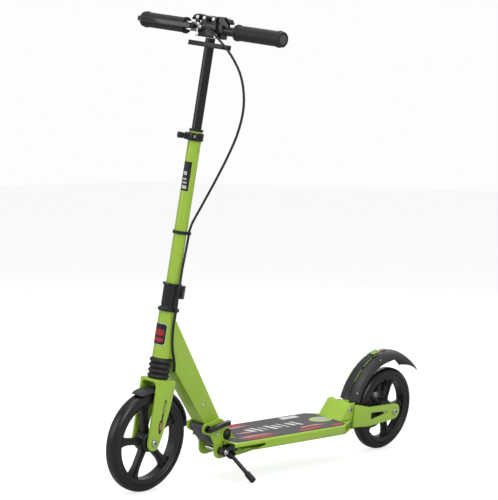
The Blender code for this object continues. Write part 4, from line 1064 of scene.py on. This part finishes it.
class Bars:
    """The handlebar with its folding halves, grips, latches and brake lever."""

    def build(self, scooter: Scooter) -> None:
        """Dresses and models everything above the column.

        Args:
            scooter: the framed nodes.
        """
        scooter.dress(["bar_head"], BLACK_METAL, 0.6, 2)
        scooter.dress(["handle_left", "handle_right"], BLACK_METAL, 0.4, 2)
        scooter.dress(["latch_left", "latch_right"], BLACK_METAL, 0.5, 2)
        scooter.dress(["handle_pin_left", "handle_pin_right"], STEEL, 0.3, 1)
        scooter.dress(["grip_holder"], BLACK_PLASTIC, 0.5, 2)
        scooter.dress(["lever_bracket"], STEEL, 0.6, 2)
        scooter.dress(["brake_lever"], GLOSS_BLACK, 0.7, 2)
        for side, word in ((1, "left"), (-1, "right")):
            self.grip(side, word)
            self.latch_bolts(side, word)
        self.latch_plate()

    def grip(self, side: int, word: str) -> None:
        """One rubber grip with fine ribs, a flange at each end and a grey end disc.

        Args:
            side: 1 for left, -1 for right.
            word: the side's name.
        """
        length = 115.0
        bore_end = 109.6
        profile = [(9.3, bore_end), (9.3, 0.0), (15.0, 0.0), (16.0, 1.0), (16.0, 4.0), (14.3, 5.0)]
        ribs = 18
        for i in range(ribs):
            level = 9.0 + (length - 24.0) * i / ribs
            profile += [(14.2, level), (14.7, level + 0.9), (14.7, level + 3.0), (14.2, level + 3.9)]
        profile += [(14.2, length - 11.5), (16.0, length - 10.5), (16.0, length - 8.0), (14.8, length - 7.0)]
        profile += [(14.8, length - 1.6), (13.6, length), (10.0, length), (10.0, length - 1.0)]
        profile += [(0.0, length - 1.0), (0.0, bore_end)]
        turn = Matrix.Rotation(math.radians(-90 * side), 4, "X")
        frame = at(STEER, 0, side * 65.0, BAR_STATION) @ turn
        name = f"grip_{word}"
        body = f"bar_{word}"
        Shape().lathe(profile, 40, closed=True).piece(name + "_body", frame, RUBBER, body, (name,))
        disc = [(0.0, length - 0.1), (9.2, length - 0.1), (9.6, length - 0.5), (9.6, length - 0.9)]
        disc.append((0.0, length - 0.9))
        Shape().lathe(disc, 36).piece(name + "_disc", frame, GREY_PLASTIC, body)

    def latch_plate(self) -> None:
        """The grey teardrop plate on the front of the left latch."""
        steps = 14
        radius = 6.4
        turns = [math.radians(60 + 220 * i / steps) for i in range(steps + 1)]
        outline = [(31 + radius * math.cos(a), radius * math.sin(a)) for a in turns]
        outline += [(47.0, -12.5), (50.5, -11.0), (50.0, -8.0)]
        shape = Shape().plate(outline, -0.7, 0.7).bevel(0.35, 2)
        facing = Matrix.Rotation(math.radians(90), 4, "Z") @ ACROSS
        shape.piece("latch_plate", at(STEER, 11.9, 0, LATCH_STATION) @ facing, GREY_PLASTIC, "catch_left")

    def latch_bolts(self, side: int, word: str) -> None:
        """The bright bolt ends of one latch: on the head and on the handle.

        Args:
            side: 1 for left, -1 for right.
            word: the side's name.
        """
        profile = [(0, 0.5), (1.5, 0.5), (1.5, 1.4), (3.0, 1.4), (3.5, 0.8), (3.5, 0.0), (0, 0.0)]
        for end, body, y, reach in (("head", "handlebar", 12.0, 12.6), ("catch", f"bar_{word}", 31.0, 10.9)):
            for face, where in ((1, "front"), (-1, "back")):
                turn = Matrix.Rotation(math.radians(90 * face), 4, "Y")
                frame = at(STEER, face * reach, side * y, LATCH_STATION) @ turn
                Shape().lathe(profile, 20).piece(f"latch_bolt_{word}_{end}_{where}", frame, STEEL, body)


@dataclass
class RearEnd:
    """Heel bracket, rear fork, fender brake and disc brake.

    Attributes:
        centre: the fender's centre, forwards and up.
        crown: its strip's radius.
        shell: its shell.
    """

    centre: tuple[float, float] = (-735.2, 93.4)
    crown: float = 128.3
    shell: FenderShell = FenderShell(
        127.2, 25.4, 20.0, 13.0, 138.0, crown=10.5, shrink_from=82.0, shrink_to=0.4
    )

    def build(self, scooter: Scooter) -> None:
        """Dresses the rear end and adds the fender's strip, slots and rivets.

        Args:
            scooter: the framed nodes.
        """
        scooter.dress(["rear_bracket"], GREEN, 0.6, 2)
        scooter.dress(["rear_fork_left", "rear_fork_right"], GREEN, 0.7, 2)
        frame = at(UPRIGHT, self.centre[0], 0, self.centre[1]) @ ACROSS
        shape = self.shell.shape()
        shape.piece(
            "rear_fender_body", frame, FENDER_PLASTIC, "fender_brake", ("rear_fender",), smooth=60.0
        )
        scooter.dress(["rear_fender_plate"], GREEN, 0.3, 1)
        scooter.dress(["fender_hinge_bolt", "rear_axle"], STEEL, 0.4, 2)
        scooter.dress(["brake_rotor", "caliper_arm"], STEEL, 0.2, 1)
        scooter.dress(["brake_caliper"], BLACK_METAL, 0.6, 2)
        self.strip()

    def arc(
        self,
        radius: float,
        half: float,
        start: float,
        end: float,
        name: str,
        finish: Finish,
        offset: float = 0.0,
    ) -> None:
        """A thin band that follows the fender's crown.

        Args:
            radius: the band's outer radius about the fender's centre.
            half: half its width.
            start: where it starts, in degrees from straight ahead.
            end: where it ends.
            name: the piece's name.
            finish: its finish.
            offset: how far its middle is to the left.
        """
        shape = Shape()
        steps = max(2, round((end - start) / 3))
        rows = []
        for i in range(steps + 1):
            turn = math.radians(start + (end - start) * i / steps)
            x = self.centre[0] + radius * math.cos(turn)
            z = self.centre[1] + radius * math.sin(turn)
            rows.append([shape.bm.verts.new((x, offset + y, z)) for y in (-half, half)])
        for low, high in zip(rows, rows[1:]):
            shape.bm.faces.new((low[0], low[1], high[1], high[0]))
        bmesh.ops.solidify(shape.bm, geom=list(shape.bm.faces), thickness=0.9)
        shape.piece(name, UPRIGHT, finish, "fender_brake")

    def strip(self) -> None:
        """The lighter crown strip, the green in its slots, the tab, the rivets and the pale decal."""
        self.arc(self.crown + 0.5, 9.0, 18, 74, "fender_strip", STRIP_PLASTIC)
        for i, (start, end) in enumerate(((32, 46), (50, 63), (66, 75))):
            for side in (-1, 1):
                name = f"fender_slot_{i}_{side + 1}"
                self.arc(self.crown + 0.8, 0.9, start, end, name, GREEN, side * 10.2)
        self.arc(self.crown + 3.0, 7.5, 68, 78, "fender_tab", GREEN)
        self.arc(self.crown + 0.3, 5.0, 82, 90, "fender_decal", DECAL_PALE)
        for i, turn in enumerate((22.0, 70.0)):
            for side in (-1, 1):
                angle = math.radians(turn)
                radius, y = self.shell.point(math.radians(64 * side))
                x = self.centre[0] + radius * math.cos(angle)
                z = self.centre[1] + radius * math.sin(angle)
                shape = Shape().rod(2.2, (0, 0, -1.6), (0, 0, 0.7), 16).bevel(0.5, 2)
                shape.turn(-62 * side, "X").turn(90 - turn, "Y")
                shape.piece(f"fender_rivet_{i}_{side + 1}", at(UPRIGHT, x, y, z), STEEL, "fender_brake")


class SocketShades:
    """Flat black hexagons on the visible bolt heads: painted shade that stands in for the hollows of their
    sockets.
    """

    def build(self) -> None:
        """Sets one black hexagon of painted socket shade and one bright rim on each head."""
        for name, frame, x, y, z, size, body in (
            ("front_axle", STEER, AXLE_OFFSET, 27.8, 0.0, 2.6, "fork_slider"),
            ("rear_axle", UPRIGHT, -WHEELBASE, 41.4, REAR_RADIUS, 2.6, "base"),
            ("fender_hinge", UPRIGHT, -596.0, 32.2, 107.0, 2.4, "base"),
        ):
            place = at(frame, x, y, z)
            # A flat black hexagon: painted shade for the hollow of the socket, not a real recess.
            socket_shade = Shape().rod(size, (0, -0.4, 0), (0, 0.06, 0), 6)
            socket_shade.piece(name + "_socket", place, BLACK_METAL, body)
            inner = size + 0.1
            outer = size + 1.5
            rim = [(inner, 0.0), (size + 1.0, 0.25), (outer, 0.0), (outer, -0.4), (inner, -0.4)]
            Shape().lathe(rim, 28, closed=True).turn(-90, "X").piece(name + "_rim", place, STEEL, body)


class Cables:
    """The brake cable, in four runs."""

    def build(self, scooter: Scooter) -> None:
        """Dresses the cable's two fixed runs and copies the two free ones where they lie.

        Args:
            scooter: the framed nodes.
        """
        scooter.dress(["brake_cable_frame", "brake_cable_deck"], RUBBER)
        self.bend(scooter, "brake_cable_upper", "column", "handlebar")
        self.bend(scooter, "brake_cable_lower", "front_section", "column")

    def bend(self, scooter: Scooter, name: str, first: str, second: str) -> None:
        """Replaces one run with a merged, smooth copy that stays where it lies and follows no body.

        Args:
            scooter: the frame's nodes.
            name: the cable's node.
            first: the body at its lower end; only named in the log.
            second: the body at its upper end; only named in the log.
        """
        shape = Shape().merged(scooter.nodes[name])
        mesh = bpy.data.meshes.new(name + "_body")
        shape.bm.transform(Matrix.Scale(MM, 4))
        shape.bm.to_mesh(mesh)
        shape.bm.free()
        mesh.materials.append(RUBBER.material())
        mesh.shade_smooth()
        obj = bpy.data.objects.new(name + "_body", mesh)
        bpy.context.scene.collection.objects.link(obj)
        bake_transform(obj)
        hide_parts(name)
        LOG.info("%s bends between %s and %s", obj.name, first, second)


# ---------------------------------------------------------------- studio


@dataclass
class Studio:
    """The plain pale floor, the soft lights and the camera.

    Attributes:
        camera: where the camera stands, in metres.
        direction: the way it looks.
        lens: its focal length in millimetres.
        sky_light: how strongly the sky lights the scooter.
        sky_seen: how bright the sky looks.
        floor_seen: how much brighter than its light the floor looks.
    """

    camera: Point = (3.4220, 2.8300, 0.7274)
    direction: Point = (-0.751, -0.657, -0.061)
    lens: float = 159.0
    sky_light: float = 0.45
    sky_seen: float = 0.98
    floor_seen: float = 0.7

    def build(self) -> None:
        """Sets the floor, the sky, the lights and the camera."""
        bpy.context.scene.view_settings.view_transform = "Standard"
        self.floor()
        self.sky()
        self.light("key_light", (1.6, 3.2, 2.6), 2.2, 62.0)
        self.light("fill_light", (3.4, -1.6, 1.8), 2.4, 30.0)
        self.light("back_light", (-2.6, -1.4, 2.8), 2.0, 34.0)
        self.light("top_light", (0.2, 0.3, 3.4), 2.6, 34.0)
        data = bpy.data.cameras.new("camera")
        data.lens = self.lens
        data.clip_end = 50.0
        obj = bpy.data.objects.new("camera", data)
        obj.location = self.camera
        obj.rotation_euler = Vector(self.direction).to_track_quat("-Z", "Y").to_euler()
        bpy.context.scene.collection.objects.link(obj)
        bpy.context.scene.camera = obj

    def floor(self) -> None:
        """The pale floor, which isn't part of the scooter."""
        bm = bmesh.new()
        bmesh.ops.create_grid(bm, x_segments=1, y_segments=1, size=14.0)
        mesh = bpy.data.meshes.new("floor")
        bm.to_mesh(mesh)
        bm.free()
        made = bpy.data.materials.new("pale_floor")
        made.use_nodes = True
        shader = made.node_tree.nodes["Principled BSDF"]
        shader.inputs["Base Color"].default_value = (0.5, 0.5, 0.5, 1.0)
        shader.inputs["Roughness"].default_value = 0.9
        shader.inputs["Emission Color"].default_value = (1.0, 1.0, 1.0, 1.0)
        self.camera_level(made.node_tree, shader.inputs["Emission Strength"], 0.0, self.floor_seen)
        mesh.materials.append(made)
        obj = bpy.data.objects.new("floor", mesh)
        obj.location = (0, 0, -0.0005)
        bpy.context.scene.collection.objects.link(obj)

    def sky(self) -> None:
        """An even pale sky."""
        world = bpy.data.worlds.new("studio")
        world.use_nodes = True
        back = world.node_tree.nodes["Background"]
        back.inputs["Color"].default_value = (1.0, 1.0, 1.0, 1.0)
        self.camera_level(world.node_tree, back.inputs["Strength"], self.sky_light, self.sky_seen)
        bpy.context.scene.world = world

    def camera_level(
        self, tree: bpy.types.NodeTree, socket: bpy.types.NodeSocket, light: float, seen: float
    ) -> None:
        """Gives a brightness one value for lighting and another for the camera.

        Args:
            tree: the nodes that the socket is among.
            socket: the brightness.
            light: its value for the light that it gives.
            seen: its value as the camera sees it.
        """
        ray = tree.nodes.new("ShaderNodeLightPath")
        level = tree.nodes.new("ShaderNodeMapRange")
        level.inputs["To Min"].default_value = light
        level.inputs["To Max"].default_value = seen
        tree.links.new(ray.outputs["Is Camera Ray"], level.inputs["Value"])
        tree.links.new(level.outputs[0], socket)

    def light(self, name: str, place: Point, size: float, power: float) -> None:
        """One soft square light that faces the scooter.

        Args:
            name: the light's name.
            place: where it hangs, in metres.
            size: its side in metres.
            power: its power in watts.
        """
        data = bpy.data.lights.new(name, "AREA")
        data.energy = power
        data.size = size
        obj = bpy.data.objects.new(name, data)
        obj.location = place
        target = Vector((0.0, 0.0, 0.35))
        obj.rotation_euler = (target - Vector(place)).to_track_quat("-Z", "Y").to_euler()
        bpy.context.scene.collection.objects.link(obj)


def main() -> None:
    """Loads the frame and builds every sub-assembly on it."""
    logging.basicConfig(level=logging.INFO, format="%(message)s")
    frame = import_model()
    bodies = frame["record"]["behaviour"]["bodies"]
    home = {node: body for body, members in bodies.items() for node in members}
    scooter = Scooter(frame["nodes"], home)
    Studio().build()
    Deck().build(scooter)
    Fold().build(scooter)
    FrontEnd().build(scooter)
    Bars().build(scooter)
    RearEnd().build(scooter)
    SocketShades().build()
    Cables().build(scooter)
    front = at(STEER, AXLE_OFFSET, 0, 0) @ ACROSS
    rear = at(UPRIGHT, -WHEELBASE, 0, REAR_RADIUS) @ ACROSS
    Wheel("front", FRONT_RADIUS, front, "front_wheel", 0.0).build()
    Wheel("rear", REAR_RADIUS, rear, "rear_wheel", 33.0).build()


if __name__ == "__main__":
    main()
